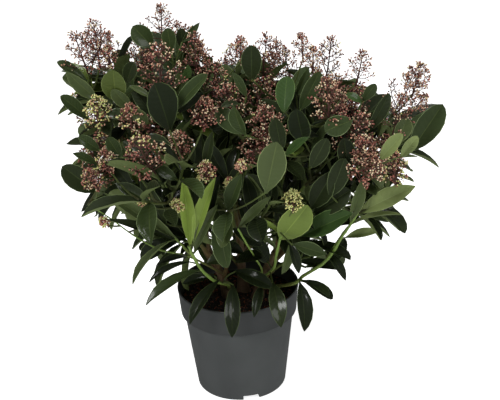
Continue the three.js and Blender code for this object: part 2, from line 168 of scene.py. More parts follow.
def pot_profile():
    """The wall in section, from the middle of the underside up to the rolled rim and down inside."""
    inner = COLLAR_FOOT + WALL
    sections = (
        (BASE_RADIUS, 0, [(-BASE_RADIUS, 0), (-2.2, 0), (-0.8, 0.4), (0, 1.6), (0.25, 3.2)]),
        (NECK_RADIUS, COLLAR_FOOT, [(-0.4, -2.4), (0, -0.4), (0.5, 0)]),
        (COLLAR_FOOT_RADIUS, COLLAR_FOOT, [(-1.3, 0.1), (-0.3, 0.7), (0, 2)]),
        (RIM_RADIUS, POT_HEIGHT, [(-0.7, -4.2), (-0.2, -3.4), (0, -2.2), (-0.1, -0.9), (-0.7, -0.1)]),
        (RIM_RADIUS, POT_HEIGHT, [(-1.5, 0), (-2.2, -0.5), (-WALL - 0.2, -1.6)]),
        (COLLAR_FOOT_RADIUS - WALL, inner, [(0, 1), (-1, 0)]),
        (NECK_RADIUS - WALL, inner, [(0.5, 0), (0, -1)]),
        (BASE_RADIUS - WALL, FLOOR, [(0, 0), (WALL - BASE_RADIUS, 0)]))
    return [(radius + r, height + z) for radius, height, steps in sections for r, z in steps]


def level_ring(radius, height, sides):
    """The corners of a level ring round the upright axis, or the one point on the axis."""
    angles = [2 * math.pi * i / sides for i in range(sides if radius else 1)]
    return [Vector((radius * math.cos(a), radius * math.sin(a), height)) for a in angles]


def loft(rings, quads=True):
    """Joins a row of rings into one closed shell. All have as many points, but an end may be one point."""
    vertices = [point for ring in rings for point in ring]
    faces, low, sides = [], 0, len(rings[1])
    for ring, following in zip(rings, rings[1:]):
        high = low + len(ring)
        for i in range(sides):
            j = (i + 1) % sides
            if len(ring) == 1:
                faces.append((low, high + j, high + i))
            elif len(following) == 1:
                faces.append((low + i, low + j, high))
            elif quads:
                faces.append((low + i, low + j, high + j, high + i))
            else:
                faces += [(low + i, low + j, high + j), (low + i, high + j, high + i)]
        low = high
    for i in range(1, sides - 1):
        if len(rings[0]) > 1:
            faces.append((0, i + 1, i))
        if len(rings[-1]) > 1:
            faces.append((low, low + i, low + i + 1))
    return vertices, faces


def polypropylene():
    """Moulded polypropylene: an even charcoal with a soft satin sheen, and a skin too fine to see singly."""
    material, tree, surface = shader(
        "moulded_polypropylene", Roughness=0.42, IOR=1.49, Specular_IOR_Level=0.5)
    place = add(tree, "ShaderNodeTexCoord")
    clouds = grain_noise(tree, place, 14, 3)
    tint = add(tree, "ShaderNodeValToRGB", {"Fac": (clouds, "Fac")})
    for element, (share, colour) in zip(tint.color_ramp.elements, ((0.35, POT_GREY), (0.7, POT_GREY_WORN))):
        element.position, element.color = share, linear(colour)
    # Above its foot the collar is painted darker: painted shade from the crown that hangs over it.
    split = add(tree, "ShaderNodeSeparateXYZ", {0: (place, "Object")})
    collar = add(tree, "ShaderNodeMapRange", {
        "Value": (split, "Z"), "From Min": (COLLAR_FOOT - 1) * MM, "From Max": (COLLAR_FOOT + 1) * MM,
        "To Min": 1.0, "To Max": COLLAR_PAINTED_SHADE})
    shade = add(tree, "ShaderNodeVectorMath", {0: (tint, "Color"), "Scale": (collar, 0)}, operation="SCALE")
    tree.links.new(shade.outputs[0], surface.inputs["Base Color"])
    # The mould's spark-eroded skin has pits of 0.3 mm, drawn at 0.8 mm so that they show.
    add_relief(tree, surface, (grain_noise(tree, place, 1250), "Fac"), 0.12, 0.3)
    return material


pot_rings = [level_ring(radius, height, POT_SIDES) for radius, height in pot_profile()]
pot = mesh_piece("pot_shell", *loft(pot_rings), [polypropylene()])
notch_mesh = bmesh.new()
for n in range(NOTCH_COUNT):
    turn = Matrix.Rotation(math.radians(NOTCH_FIRST_DEGREES + 360 * n / NOTCH_COUNT), 4, "Z")
    place = turn @ Matrix.Translation((BASE_RADIUS * MM, 0, 0))
    corners = bmesh.ops.create_cube(notch_mesh, size=1)["verts"]
    size = Matrix.Diagonal((*[side * MM for side in NOTCH_SIZE], 1))
    bmesh.ops.transform(notch_mesh, matrix=place @ size, verts=corners)
notch_cutter = bpy.data.objects.new("notch_cutter", bpy.data.meshes.new("notch_cutter"))
notch_mesh.to_mesh(notch_cutter.data)
notch_mesh.free()
bpy.context.scene.collection.objects.link(notch_cutter)
cut = pot.modifiers.new("notches", "BOOLEAN")
cut.operation = "DIFFERENCE"
cut.object = notch_cutter
apply_modifiers(pot)
bpy.data.objects.remove(notch_cutter)
pot.data.set_sharp_from_angle(angle=math.radians(50))
finish_piece(pot, "pot_plastic", "pot")


# ---- Compost ----
# Peat and composted bark, pressed in by hand to two fingers below the rim. Its surface is a heap of dark
# crumbs with red-brown chips of bark among them, scattered over a rough bed.
SOIL_LEVEL = 152
SOIL_DROP = 3
BED_LUMP = 1.6
BED_RINGS = 22
BED_SIDES = 64
CRUMB_SHAPES = 4
CRUMB_KINDS = {
    # name: colour, how many, size in mm from and to, seed
    "peat_crumbs": ("#1a1512", 2600, 1.2, 3.4, 3),
    "dark_bark": ("#2c1d15", 900, 2.0, 5.5, 5),
    "red_bark": ("#5e3524", 520, 1.8, 6.0, 8),
    "pale_fibre": ("#7a6448", 60, 1.0, 3.0, 13),
}


def compost_bed():
    """The bed's vertices and faces: a rough top that falls a little to the wall, over a short closed plug."""
    edge, under = COLLAR_FOOT_RADIUS - WALL - 0.6, COLLAR_FOOT + WALL + 0.4
    vertices = [(0, 0, SOIL_LEVEL)]
    for k in range(1, BED_RINGS + 1):
        share = k / BED_RINGS
        for i in range(BED_SIDES):
            angle = 2 * math.pi * (i + 0.5 * (k % 2)) / BED_SIDES
            x, y = share * edge * math.cos(angle), share * edge * math.sin(angle)
            lump = noise.fractal(Vector((x, y, 0)) / 14, 0.7, 2.1, 4)
            rough = (1 - share ** 4) * BED_LUMP * lump
            vertices.append((x, y, SOIL_LEVEL - SOIL_DROP * share ** 2 + rough - BED_LUMP / 2))
    vertices += [(x * 0.98, y * 0.98, under) for x, y, _ in vertices[-BED_SIDES:]]
    vertices.append((0, 0, under))
    faces = [(0, 1 + i, 1 + (i + 1) % BED_SIDES) for i in range(BED_SIDES)]
    for k in range(BED_RINGS):
        low = 1 + k * BED_SIDES
        for i in range(BED_SIDES):
            j = (i + 1) % BED_SIDES
            faces.append((low + i, low + BED_SIDES + i, low + BED_SIDES + j, low + j))
    low = 1 + BED_RINGS * BED_SIDES
    faces += [(low + i, len(vertices) - 1, low + (i + 1) % BED_SIDES) for i in range(BED_SIDES)]
    return vertices, faces


def shape_object(name, lump):
    """A small mesh as an object for Geometry Nodes to place."""
    mesh = bpy.data.meshes.new(name)
    lump.to_mesh(mesh)
    lump.free()
    return bpy.data.objects.new(name, mesh)


def drop_shapes(collection):
    """Removes shapes that Geometry Nodes have placed."""
    for shape in list(collection.objects):
        bpy.data.objects.remove(shape)
    bpy.data.collections.remove(collection)


def crumb_shape(name, seed):
    """One crumb, a dented and flattened lump of two dozen faces about 1 m across, to be scaled down."""
    lump = bmesh.new()
    bmesh.ops.create_icosphere(lump, subdivisions=1, radius=0.5)
    for v in lump.verts:
        dent = noise.noise(v.co * 2.3 + Vector((seed, 0, 0)))
        v.co = Vector((v.co.x * 1.25, v.co.y * 0.8, v.co.z * 0.55)) * (1 + 0.5 * dent)
    return shape_object(name, lump)


def humus(name, colour):
    """Peat and bark: dull, dark when moist, and broken by fine grain of half a millimetre."""
    material, tree, surface = shader(name, Roughness=0.95, Specular_IOR_Level=0.25)
    place = add(tree, "ShaderNodeTexCoord")
    grain = grain_noise(tree, place, 900, 3)
    dark, light = ([c * share for c in linear(colour)[:3]] + [1] for share in (0.6, 1.35))
    tint = add(tree, "ShaderNodeMix", {"Factor": (grain, "Fac"), "A": dark, "B": light}, data_type="RGBA")
    tree.links.new(tint.outputs["Result"], surface.inputs["Base Color"])
    add_relief(tree, surface, (grain, "Fac"), 0.7, 0.6)
    return material


def group_with(name, inputs):
    """A Geometry Nodes group with these named inputs after its geometry: name, socket type and value."""
    tree = bpy.data.node_groups.new(name, "GeometryNodeTree")
    tree.interface.new_socket("Geometry", in_out="OUTPUT", socket_type="NodeSocketGeometry")
    tree.interface.new_socket("Geometry", in_out="INPUT", socket_type="NodeSocketGeometry")
    for label, kind, value in inputs:
        socket = tree.interface.new_socket(label, in_out="INPUT", socket_type=kind)
        if value is not None:
            socket.default_value = value
    return tree, add(tree, "NodeGroupInput")


def add_nodes_modifier(piece, tree, values):
    """Puts a group on a piece with its inputs set by their identifiers."""
    modifier = piece.modifiers.new(tree.name, "NODES")
    modifier.node_group = tree
    for item in tree.interface.items_tree:
        if item.in_out == "INPUT" and item.name in values:
            modifier[item.identifier] = values[item.name]


def scatter_tree():
    """Crumbs strewn over the faces of the bed, each turned and sized at random from a fixed seed."""
    tree, given = group_with("strewn_crumbs", [
        ("Crumbs", "NodeSocketCollection", None), ("Density", "NodeSocketFloat", 1.0),
        ("Smallest", "NodeSocketFloat", 0.001), ("Largest", "NodeSocketFloat", 0.003),
        ("Seed", "NodeSocketInt", 0), ("Material", "NodeSocketMaterial", None)])
    up = add(tree, "GeometryNodeInputNormal")
    height = add(tree, "ShaderNodeSeparateXYZ", {0: (up, 0)})
    level = add(tree, "FunctionNodeCompare", {"A": (height, "Z"), "B": 0.5}, operation="GREATER_THAN")
    points = add(tree, "GeometryNodeDistributePointsOnFaces", {
        "Mesh": (given, "Geometry"), "Selection": (level, 0), "Density": (given, "Density"),
        "Seed": (given, "Seed")})
    turn = add(tree, "FunctionNodeRandomValue", {"Seed": (given, "Seed")}, data_type="FLOAT_VECTOR")
    turn.inputs[1].default_value = (0.7, 0.7, 2 * math.pi)
    size = add(tree, "FunctionNodeRandomValue", {"Seed": (given, "Seed")}, data_type="FLOAT")
    tree.links.new(given.outputs["Smallest"], size.inputs[2])
    tree.links.new(given.outputs["Largest"], size.inputs[3])
    kinds = add(tree, "GeometryNodeCollectionInfo", {
        "Collection": (given, "Crumbs"), "Separate Children": True, "Reset Children": True})
    placed = add(tree, "GeometryNodeInstanceOnPoints", {
        "Points": (points, "Points"), "Instance": (kinds, "Instances"), "Pick Instance": True,
        "Rotation": (turn, 0), "Scale": (size, 1)})
    real = add(tree, "GeometryNodeRealizeInstances", {"Geometry": (placed, "Instances")})
    painted = add(tree, "GeometryNodeSetMaterial", {
        "Geometry": (real, "Geometry"), "Material": (given, "Material")})
    add(tree, "NodeGroupOutput", {"Geometry": (painted, "Geometry")})
    return tree


bed = mesh_piece("compost_bed", *compost_bed(), [humus("moist_peat", "#15110f")])
finish_piece(bed, "compost", "compost")
crumbs = bpy.data.collections.new("crumb_shapes")
for n in range(CRUMB_SHAPES):
    crumbs.objects.link(crumb_shape(f"crumb_{n}", 7 * n))
strewn = scatter_tree()
BED_AREA = math.pi * (COLLAR_FOOT_RADIUS * MM) ** 2
for name, (colour, count, smallest, largest, seed) in CRUMB_KINDS.items():
    strew = mesh_piece(name, *compost_bed(), [])
    add_nodes_modifier(strew, strewn, {
        "Crumbs": crumbs, "Density": count / BED_AREA, "Smallest": smallest * MM, "Largest": largest * MM,
        "Seed": seed, "Material": humus(name, colour)})
    apply_modifiers(strew)
    finish_piece(strew, "compost", "compost")
drop_shapes(crumbs)


# ---- Stems ----
# Three woody stems, rooted in the compost and flared at the foot. The bark is grey-brown, furrowed
# lengthwise, with rings where old leaves fell. All the rest grows on from them by one seeded rule.
STEMS = {
    # name: foot x and y, tip x, y and z
    "left": ((-15, -2), (-50, -8, 248)),
    "middle": ((8, 14), (4, 36, 262)),
    "right": ((30, -8), (68, -14, 244)),
}
STEM_RADIUS = 7.2
STEM_TIP_RADIUS = 5
STEM_FLARE = 5
STEM_STEPS = 6
STEM_SIDES = 24
STEM_RINGS = 84
SCAR_SPACING = 19
SHOULDER = (0.3, 0.3, 0.55)  # share of the way to the tip, along X, Y and Z, at which a stem bends up
FLARE_FALL = 2.5
DOME = 0.7
UP = Vector((0, 0, 1))
EAST = Vector((1, 0, 0))


def mix(low, high, share):
    """The value a share of the way from low to high."""
    return low + (high - low) * share


def around(axis, angle):
    """The unit vector square to an axis at a given turn round it."""
    first = (UP if abs(axis.z) < 0.9 else EAST).cross(axis).normalized()
    return first * math.cos(angle) + axis.cross(first) * math.sin(angle)


def tilted(axis, tilt, turn):
    """The direction that leans away from an axis by a tilt, at a given turn round it."""
    return axis * math.cos(tilt) + around(axis, turn) * math.sin(tilt)


def curve_point(controls, share):
    """The point a share of the way along a Bezier curve."""
    while len(controls) > 1:
        controls = [a.lerp(b, share) for a, b in zip(controls, controls[1:])]
    return controls[0]


def grow_stem(foot, tip):
    """A stem that leans from its foot to its fork: its curve's control points and its radius at a share."""
    start, end = Vector((*foot, SOIL_LEVEL - STEM_FLARE)), Vector(tip)
    shoulder = Vector([mix(*span) for span in zip(start, end, SHOULDER)])

    def radius(share):
        return mix(STEM_RADIUS, STEM_TIP_RADIUS, share) + STEM_FLARE * max(0, 1 - FLARE_FALL * share) ** 2
    return {"curve": [start, shoulder, end], "radius": radius, "steps": STEM_STEPS}


def stem_relief(place):
    """How far the bark stands out in mm: soft lumps, furrows that run lengthwise and rings of leaf scars."""
    lump = 0.7 * noise.noise(place / 8)
    furrow = -0.55 * abs(noise.noise(Vector((place.x, place.y, place.z / 7)) / 1.3))
    scar = math.cos(2 * math.pi * place.z / SCAR_SPACING + 2 * noise.noise(place / 30))
    return lump + furrow + 0.5 * max(0, scar) ** 12


def limb_rings(points, radii, sides, relief=None):
    """The rings of a limb along a row of points, each turned as the one before."""
    first, last, rings = None, len(points) - 1, []
    for k, centre in enumerate(points):
        axis = (points[min(k + 1, last)] - points[max(k - 1, 0)]).normalized()
        first = (first - axis * first.dot(axis)).normalized() if first else around(axis, 0)
        second, ring = axis.cross(first), []
        for i in range(sides):
            angle = 2 * math.pi * i / sides
            outward = first * math.cos(angle) + second * math.sin(angle)
            bulge = relief(centre + outward * radii[k]) if relief else 0
            ring.append(centre + outward * (radii[k] + bulge))
        rings.append(ring)
    return rings


def limb_mesh(points, radii, sides, relief=None):
    """A limb domed at its ends: vertices, faces and each vertex's share of the way up."""
    foot = points[0] + (points[0] - points[1]).normalized() * (DOME * radii[0])
    tip = points[-1] + (points[-1] - points[-2]).normalized() * (DOME * radii[-1])
    vertices, faces = loft([[foot], *limb_rings(points, radii, sides, relief), [tip]])
    last = len(points) - 1
    return vertices, faces, [0, *(k / last for k in range(last + 1) for _ in range(sides)), 1]


def limbs_piece(name, limbs, material):
    """One piece from many limbs. Each vertex keeps its share of the way up its limb as the attribute age."""
    vertices, faces, ages = [], [], []
    for limb_vertices, limb_faces, shares in limbs:
        low = len(vertices)
        vertices += limb_vertices
        faces += [[low + n for n in face] for face in limb_faces]
        ages += shares
    piece = mesh_piece(name, vertices, faces, [material])
    piece.data.attributes.new("age", "FLOAT", "POINT").data.foreach_set("value", ages)
    return piece


def bark(name, ages, grain_mm, stretch, depth_mm, roughness):
    """Bark whose colour goes with its age along the limb, with grain that runs lengthwise.

    Cork cells make it dull. The grain is drawn in long noise, and the ages are (share, colour) pairs."""
    material, tree, surface = shader(name, Roughness=roughness, Specular_IOR_Level=0.3)
    place = add(tree, "ShaderNodeTexCoord")
    long = add(tree, "ShaderNodeMapping", {"Vector": (place, "Object"), "Scale": (1, 1, stretch)})
    grain = add(tree, "ShaderNodeTexNoise", {"Vector": (long, 0), "Scale": 1000 / grain_mm, "Detail": 4.0})
    patches = grain_noise(tree, place, 60)
    age = add(tree, "ShaderNodeAttribute", attribute_name="age")
    wander = add(tree, "ShaderNodeMath", {0: (patches, "Fac"), 1: 0.35, 2: -0.175}, operation="MULTIPLY_ADD")
    shifted = add(tree, "ShaderNodeMath", {0: (age, "Fac"), 1: (wander, 0)}, operation="ADD")
    tint = add(tree, "ShaderNodeValToRGB", {"Fac": (shifted, 0)})
    while len(tint.color_ramp.elements) < len(ages):
        tint.color_ramp.elements.new(0.5)
    for element, (share, colour) in zip(tint.color_ramp.elements, ages):
        element.position, element.color = share, linear(colour)
    darker = add(tree, "ShaderNodeMapRange", {"Value": (grain, "Fac"), "To Min": 0.45, "To Max": 1.4})
    shade = add(tree, "ShaderNodeMix", {"Factor": 1.0, 6: (tint, "Color"), 7: (darker, 0)},
                data_type="RGBA", blend_type="MULTIPLY")
    tree.links.new(shade.outputs[2], surface.inputs["Base Color"])
    add_relief(tree, surface, (grain, "Fac"), 0.8, depth_mm)
    return material


def along_curve(limb, steps):
    """Even points along a limb's curve, and the radius at each."""
    shares = [k / steps for k in range(steps + 1)]
    return [curve_point(limb["curve"], s) for s in shares], [limb["radius"](s) for s in shares]


stems = {name: grow_stem(*plan) for name, plan in STEMS.items()}
old_bark = bark("furrowed_bark", [(0, "#4b3a2b"), (0.6, "#6a5640"), (1, "#6e6440")], 1.6, 0.15, 0.6, 0.85)
for name, stem in stems.items():
    shape = limb_mesh(*along_curve(stem, STEM_RINGS), STEM_SIDES, stem_relief)
    piece = limbs_piece(f"bark_{name}", [shape], old_bark)
    finish_piece(piece, "old_wood", f"stem_{name}")


# ---- Boughs ----
# Two dozen boughs fork off the stems, each to the foot of one mass of leaves. Near the stem they are brown
# with young cork, and further out still green. Small swellings mark where leaves stood.
MASSES = [
    # name, stem, tip, leader's length, lean, turn, shoots, heads
    ("crest_far_left", "left", (-200, -15, 603), 190, 0.5, 260, 4, 2),
    ("crest_left", "left", (-91, 5, 622), 205, 0.2, 40, 4, 3),
    ("crest_middle", "middle", (59, 16, 574), 190, 0.1, 250, 4, 3),
    ("crest_right", "right", (155, 22, 565), 190, 0.2, 90, 4, 3),
    ("crest_far_right", "right", (277, -14, 518), 190, 0.55, 290, 3, 3),
    ("upper_front_left", "left", (-97, -76, 594), 185, 0.35, 40, 4, 2),
    ("upper_front_middle", "middle", (0, -102, 542), 180, 0.3, 170, 4, 3),
    ("upper_front_right", "right", (128, -99, 544), 180, 0.4, 160, 4, 3),
    ("side_left", "left", (-233, 2, 496), 165, 1.1, 220, 4, 2),
    ("side_right", "right", (240, -55, 421), 150, 0.9, 30, 4, 2),
    ("front_left", "left", (-126, -205, 508), 165, 0.6, 340, 4, 2),
    ("front_middle", "middle", (-8, -175, 471), 160, 0.7, 130, 4, 3),
    ("front_right", "right", (193, -125, 495), 165, 0.8, 190, 4, 4),
    ("low_left", "left", (-220, -75, 433), 135, 1.6, 210, 3, 1),
    ("low_front", "right", (75, -165, 419), 140, 0.9, 240, 4, 1),
    ("low_right", "right", (157, -52, 347), 125, 1.7, 250, 3, 0),
    ("back_left", "left", (-139, 139, 556), 170, 0.5, 210, 4, 3),
    ("back_middle", "middle", (13, 170, 514), 170, 0.6, 230, 4, 4),
    ("back_right", "middle", (140, 186, 459), 170, 0.3, 150, 4, 4),
    ("low_back_left", "middle", (-106, 137, 311), 135, 1.5, 210, 4, 0),
    ("low_back_right", "middle", (126, 202, 329), 135, 1.2, 310, 4, 0),
    ("skirt_left", "left", (-111, -76, 298), 90, 2.5, 80, 3, 0),
    ("skirt_front", "left", (-29, -123, 294), 88, 2.5, 40, 3, 0),
    ("skirt_right", "right", (153, -69, 258), 88, 2.4, 330, 3, 0),
]
LOWEST_FORK = 0.31
HIGHEST_FORK = 0.94
BOUGH_RADIUS = 3.4
BOUGH_TIP_RADIUS = 2.4
BOUGH_STEPS = 4
BOUGH_SIDES = 12
BOUGH_RINGS = 40
BOUGH_LEAN = 0.8
BOUGH_SWAY = 0.3  # share of a bough's span that each of its ends keeps its direction
JOINT_SPACING = 26


def plan_mass(seed, name, stem, tip, leader, lean, turn, shoots, heads):
    """Where a mass grows: the foot of its leader, the leader's direction and what the mass bears."""
    tip = Vector(tip)
    outward = Vector((tip.x, tip.y, 0)).normalized()
    axis = (outward * lean + UP).normalized()
    return {"seed": seed, "name": name, "stem": stem, "tip": tip, "leader": leader, "turn": turn,
            "shoots": shoots, "heads": heads, "axis": axis, "foot": tip - axis * leader,
            "skirt": name.startswith("skirt")}


def grow_bough(plan, stem, share):
    """A bough leaves its stem outwards and bends up into the direction of its mass."""
    start = curve_point(stem["curve"], mix(LOWEST_FORK, HIGHEST_FORK, share))
    span = (plan["foot"] - start).length
    outward = plan["foot"] - start
    outward.z = 0
    leaving = (outward.normalized() * BOUGH_LEAN + UP).normalized()
    sway = BOUGH_SWAY * span
    curve = [start, start + leaving * sway, plan["foot"] - plan["axis"] * sway, plan["foot"]]
    return {"curve": curve, "radius": partial(mix, BOUGH_RADIUS, BOUGH_TIP_RADIUS), "steps": BOUGH_STEPS}


def bough_relief(place):
    """How far the young bark stands out in mm: low lumps and small swellings at old leaf joints."""
    turns = (place.x + place.y + place.z) / JOINT_SPACING
    joint = math.cos(2 * math.pi * turns + 3 * noise.noise(place / 40))
    return 0.35 * noise.noise(place / 5) + 0.5 * max(0, joint) ** 10


plans = [plan_mass(seed, *mass) for seed, mass in enumerate(MASSES, 1)]
limbs = list(stems.values())
bough_shapes = []
for name, stem in stems.items():
    family = sorted((plan for plan in plans if plan["stem"] == name), key=lambda plan: plan["foot"].z)
    for k, plan in enumerate(family):
        bough = plan["bough"] = grow_bough(plan, stem, k / (len(family) - 1))
        limbs.append(bough)
        bough_shapes.append(limb_mesh(*along_curve(bough, BOUGH_RINGS), BOUGH_SIDES, bough_relief))
young_bark = bark(
    "green_bark", [(0, "#54402a"), (0.3, "#5c4d2c"), (0.6, "#4d5526"), (1, "#516129")],
    1.2, 0.3, 0.3, 0.6)
boughs = limbs_piece("boughs", bough_shapes, young_bark)
finish_piece(boughs, "young_wood", *[f"bough_{plan['name']}" for plan in plans])


# ---- Low shoots ----
# A few shoots sprout from the feet of the stems and arch out low over the rim. They carry the largest and
# palest leaves, and are lime green and smooth from a brown foot on.
LOW_SHOOTS = [
    # radius at the foot and at the tip, and points from the foot to the tip
    (2.6, 2.0, [(-14, -6, 166), (-15, -46, 194), (-33, -72, 215), (-50, -98, 247), (-61, -116, 279),
               (-67, -125, 303)]),
    (1.8, 1.2, [(-58, -112, 273), (-80, -118, 305), (-97, -118, 327), (-110, -116, 339)]),
    (1.5, 0.9, [(-22, -20, 200), (-69, -72, 258), (-112, -84, 278), (-148, -90, 306), (-181, -92, 337),
               (-211, -92, 361)]),
    (1.5, 1.1, [(14, 4, 180), (38, -45, 213), (27, -75, 257), (16, -100, 292), (5, -120, 326)]),
    (2.2, 1.8, [(22, -8, 176), (54, -50, 219), (60, -82, 259), (64, -108, 292), (67, -120, 311)]),
    (2.8, 1.8, [(32, -10, 166), (85, -42, 189), (100, -56, 209), (129, -72, 237), (145, -84, 263),
               (156, -94, 290), (169, -102, 315), (180, -108, 337)]),
    (1.6, 1.2, [(135, -74, 245), (151, -84, 279), (164, -94, 305), (178, -102, 324)]),
]
LOW_SHOOT_RINGS = 28


def smooth_row(points, steps):
    """A row of points that runs smoothly through all the given ones, by Catmull and Rom's rule."""
    points = [Vector(point) for point in points]
    ends = [2 * points[0] - points[1], *points, 2 * points[-1] - points[-2]]
    row = []
    for n in range(steps + 1):
        place = n / steps * (len(points) - 1)
        k = min(int(place), len(points) - 2)
        t = place - k
        a, b, c, d = ends[k:k + 4]
        row.append(0.5 * (2 * b + (c - a) * t + (2 * a - 5 * b + 4 * c - d) * t ** 2
                          + (3 * b - a - 3 * c + d) * t ** 3))
    return row


low_shoots = []
for foot_radius, tip_radius, points in LOW_SHOOTS:
    row = smooth_row(points, LOW_SHOOT_RINGS)
    low_shoots.append((row, [mix(foot_radius, tip_radius, k / LOW_SHOOT_RINGS) for k in range(len(row))]))
low_bark = bark(
    "lime_green_bark", [(0, "#5f5530"), (0.2, "#667836"), (0.6, "#6c863c"), (1, "#748f40")],
    1.2, 0.3, 0.3, 0.5)
low_piece = limbs_piece(
    "low_shoots", [limb_mesh(row, radii, BOUGH_SIDES, bough_relief) for row, radii in low_shoots], low_bark)
finish_piece(low_piece, "young_wood", "bough_skirt_left", "bough_skirt_front", "bough_skirt_right")


# ---- Twigs ----
# Each mass is a leader with side shoots that fork off by the golden angle. Smaller sprigs fill the room
# between them. All are this year's wood: green, smooth and no thicker than a match.
GOLDEN_ANGLE = 137.5
TWIG_RADIUS = 2.3
TWIG_TIP_RADIUS = 1.5
TWIG_SIDES = 7
SHOOT_TILT = 42
SHOOT_LENGTH = 0.86
FIRST_SHOOT = 0.06
LAST_SHOOT = 0.45
SHOOT_TRIALS = [  # degrees aside, share of the length
    (0, 1), (50, 1), (-50, 1), (0, 0.75), (70, 0.75), (-70, 0.75)]
HEAD_LENGTH = 80
SIDE_HEAD = 0.85  # how long the head of a side shoot is against the leader's
LEAF_LENGTH = 98
LEAF_WIDTH = 0.37
LEAVES_PER_SHOOT = 8
LEAVES_PER_SKIRT_SHOOT = 4
LEAF_RISE = 0.45
LEAF_TILTS = (80, 42)  # degrees off the shoot, at its foot and at its end
LEAF_SHRINK = (1.02, 0.8)  # share of the full length, at a shoot's foot and at its end
LEAF_BEND = (8, 36)
LIMB_CLEARANCE = 4
SPRIGS_PER_SHOOT = 3
SPRIG_TILT = 62
SPRIG_LENGTHS = (34, 56)
SPRIG_LEAF = 82
LEAVES_PER_SPRIG = 5
SPRIG_RADII = (1.5, 1.1)
SPRIG_STARTS = (0.25, 0.3, 0.15)  # share of the carrier up to the first, from one to the next, and at random
SPRIG_KNEE = 0.4
SPRIG_INTERLOCK = 6
SHOOT_SPRIG_SEED, BOUGH_SPRIG_SEED = 5000, 7000
BOUGH_SPRIGS = (0.4, 0.68)  # shares of a bough from which its groups of sprigs start
BOUGH_SPRIG_SPAN = 0.25
PLACED_TWIG_RADIUS = (1.5, 1.1)
PLACED_TWIG_STEPS = 6
BARE_END = 0.06  # how much further than its highest leaf a shoot without a head goes on
TWIG_ROUNDING = 0.12


def seeded(seed):
    """A number between 0 and 1 for each call, the same row for the same seed."""
    state = seed * 7919 % 2 ** 32

    def following():
        nonlocal state
        state = (state * 1664525 + 1013904223) % 2 ** 32
        return state / 2 ** 32
    following()
    following()
    return following


def distances(points, starts, ends):
    """How far each point is from each straight line: an array with a row for each point."""
    points, starts, ends = (np.array([tuple(p) for p in row]) for row in (points, starts, ends))
    spans = ends - starts
    shares = np.einsum("pli,li->pl", points[:, None] - starts, spans) / (spans ** 2).sum(1)
    nearest = starts + np.clip(shares, 0, 1)[..., None] * spans
    return np.linalg.norm(points[:, None] - nearest, axis=2)


LINE_FEET = [plan["foot"] for plan in plans]
LINE_TIPS = [plan["tip"] for plan in plans]


def in_own_space(points, plan, tolerance):
    """Whether points are nearer to a mass's own leader than to any other's, or not much further off."""
    away = distances(points, LINE_FEET, LINE_TIPS)
    own = away[:, plan["seed"] - 1].copy()
    away[:, plan["seed"] - 1] = np.inf
    return bool((away.min(1) > own - tolerance).all())


limb_starts, limb_ends, limb_room = [], [], []
for limb in limbs:
    points, radii = along_curve(limb, limb["steps"])
    limb_starts += points[:-1]
    limb_ends += points[1:]
    limb_room += [radius + LIMB_CLEARANCE for radius in radii[:-1]]


def clear_of_limbs(points):
    """Whether points keep clear of every stem and bough."""
    return bool((distances(points, limb_starts, limb_ends) > limb_room).all())


def grow_leaves(shoot, random, count, full_length=LEAF_LENGTH):
    """The leaves of one shoot: a loose spiral that closes up into a ring below its end."""
    leaves = []
    for j in range(count):
        height = j / (count - 1)
        turn = shoot["turn"] + math.radians(j * GOLDEN_ANGLE + 30 * random())
        tilt = math.radians(mix(*LEAF_TILTS, height) + 12 * (random() - 0.5))
        length = full_length * mix(*LEAF_SHRINK, height) * (0.9 + 0.2 * random())
        bend = math.radians(mix(*LEAF_BEND, random()))
        root = shoot["middle"].lerp(shoot["end"], mix(0.05, 0.97, height))
        leaves.append({"root": root, "tilt": tilt, "turn": turn, "length": length, "bend": bend})
    return leaves


def side_shoot(leader, plan, k, turn, share):
    """One side shoot of a mass, forking off its leader and bending upwards."""
    fork = mix(FIRST_SHOOT, LAST_SHOOT, (k - 1) / (plan["shoots"] - 1))
    length = SHOOT_LENGTH * share * (leader["end"] - leader["start"]).length
    leaving = tilted(plan["axis"], math.radians(SHOOT_TILT), turn)
    axis = (leaving + plan["axis"] * 0.5).normalized()
    start = leader["start"].lerp(leader["end"], fork)
    middle = start + leaving * (length / 2)
    return {"start": start, "middle": middle, "end": middle + axis * (length / 2), "axis": axis}


def grow_shoots(plan):
    """A mass's leader, then side shoots that turn aside or stay short until they fit, all with leaves."""
    leafy = plan["leader"] - (HEAD_LENGTH if plan["heads"] else 0.5 * LEAF_LENGTH)
    top = plan["foot"] + plan["axis"] * leafy
    leader = {"start": plan["foot"], "middle": plan["foot"].lerp(top, 0.5), "end": top, "axis": plan["axis"]}
    shoots = [leader]
    for k in range(1, plan["shoots"]):
        turn = math.radians(plan["turn"] + k * GOLDEN_ANGLE)
        for aside, share in SHOOT_TRIALS:
            shoot = side_shoot(leader, plan, k, turn + math.radians(aside), share)
            ends = [shoot["middle"], shoot["end"]]
            if in_own_space(ends, plan, -TWIG_RADIUS) and clear_of_limbs(ends):
                shoots.append(shoot)
                break
    for k, shoot in enumerate(shoots):
        random = seeded(plan["seed"] * 31 + k)
        shoot["turn"] = 2 * math.pi * random()
        shoot["head"] = HEAD_LENGTH * (SIDE_HEAD if k else 1) if k < plan["heads"] else 0
        shoot["order"] = k
        count = LEAVES_PER_SKIRT_SHOOT if plan["skirt"] else LEAVES_PER_SHOOT
        shoot["leaves"] = grow_leaves(shoot, random, count)
        shoot["radii"] = (TWIG_RADIUS, TWIG_TIP_RADIUS)
        shoot["plan"] = plan
    return shoots


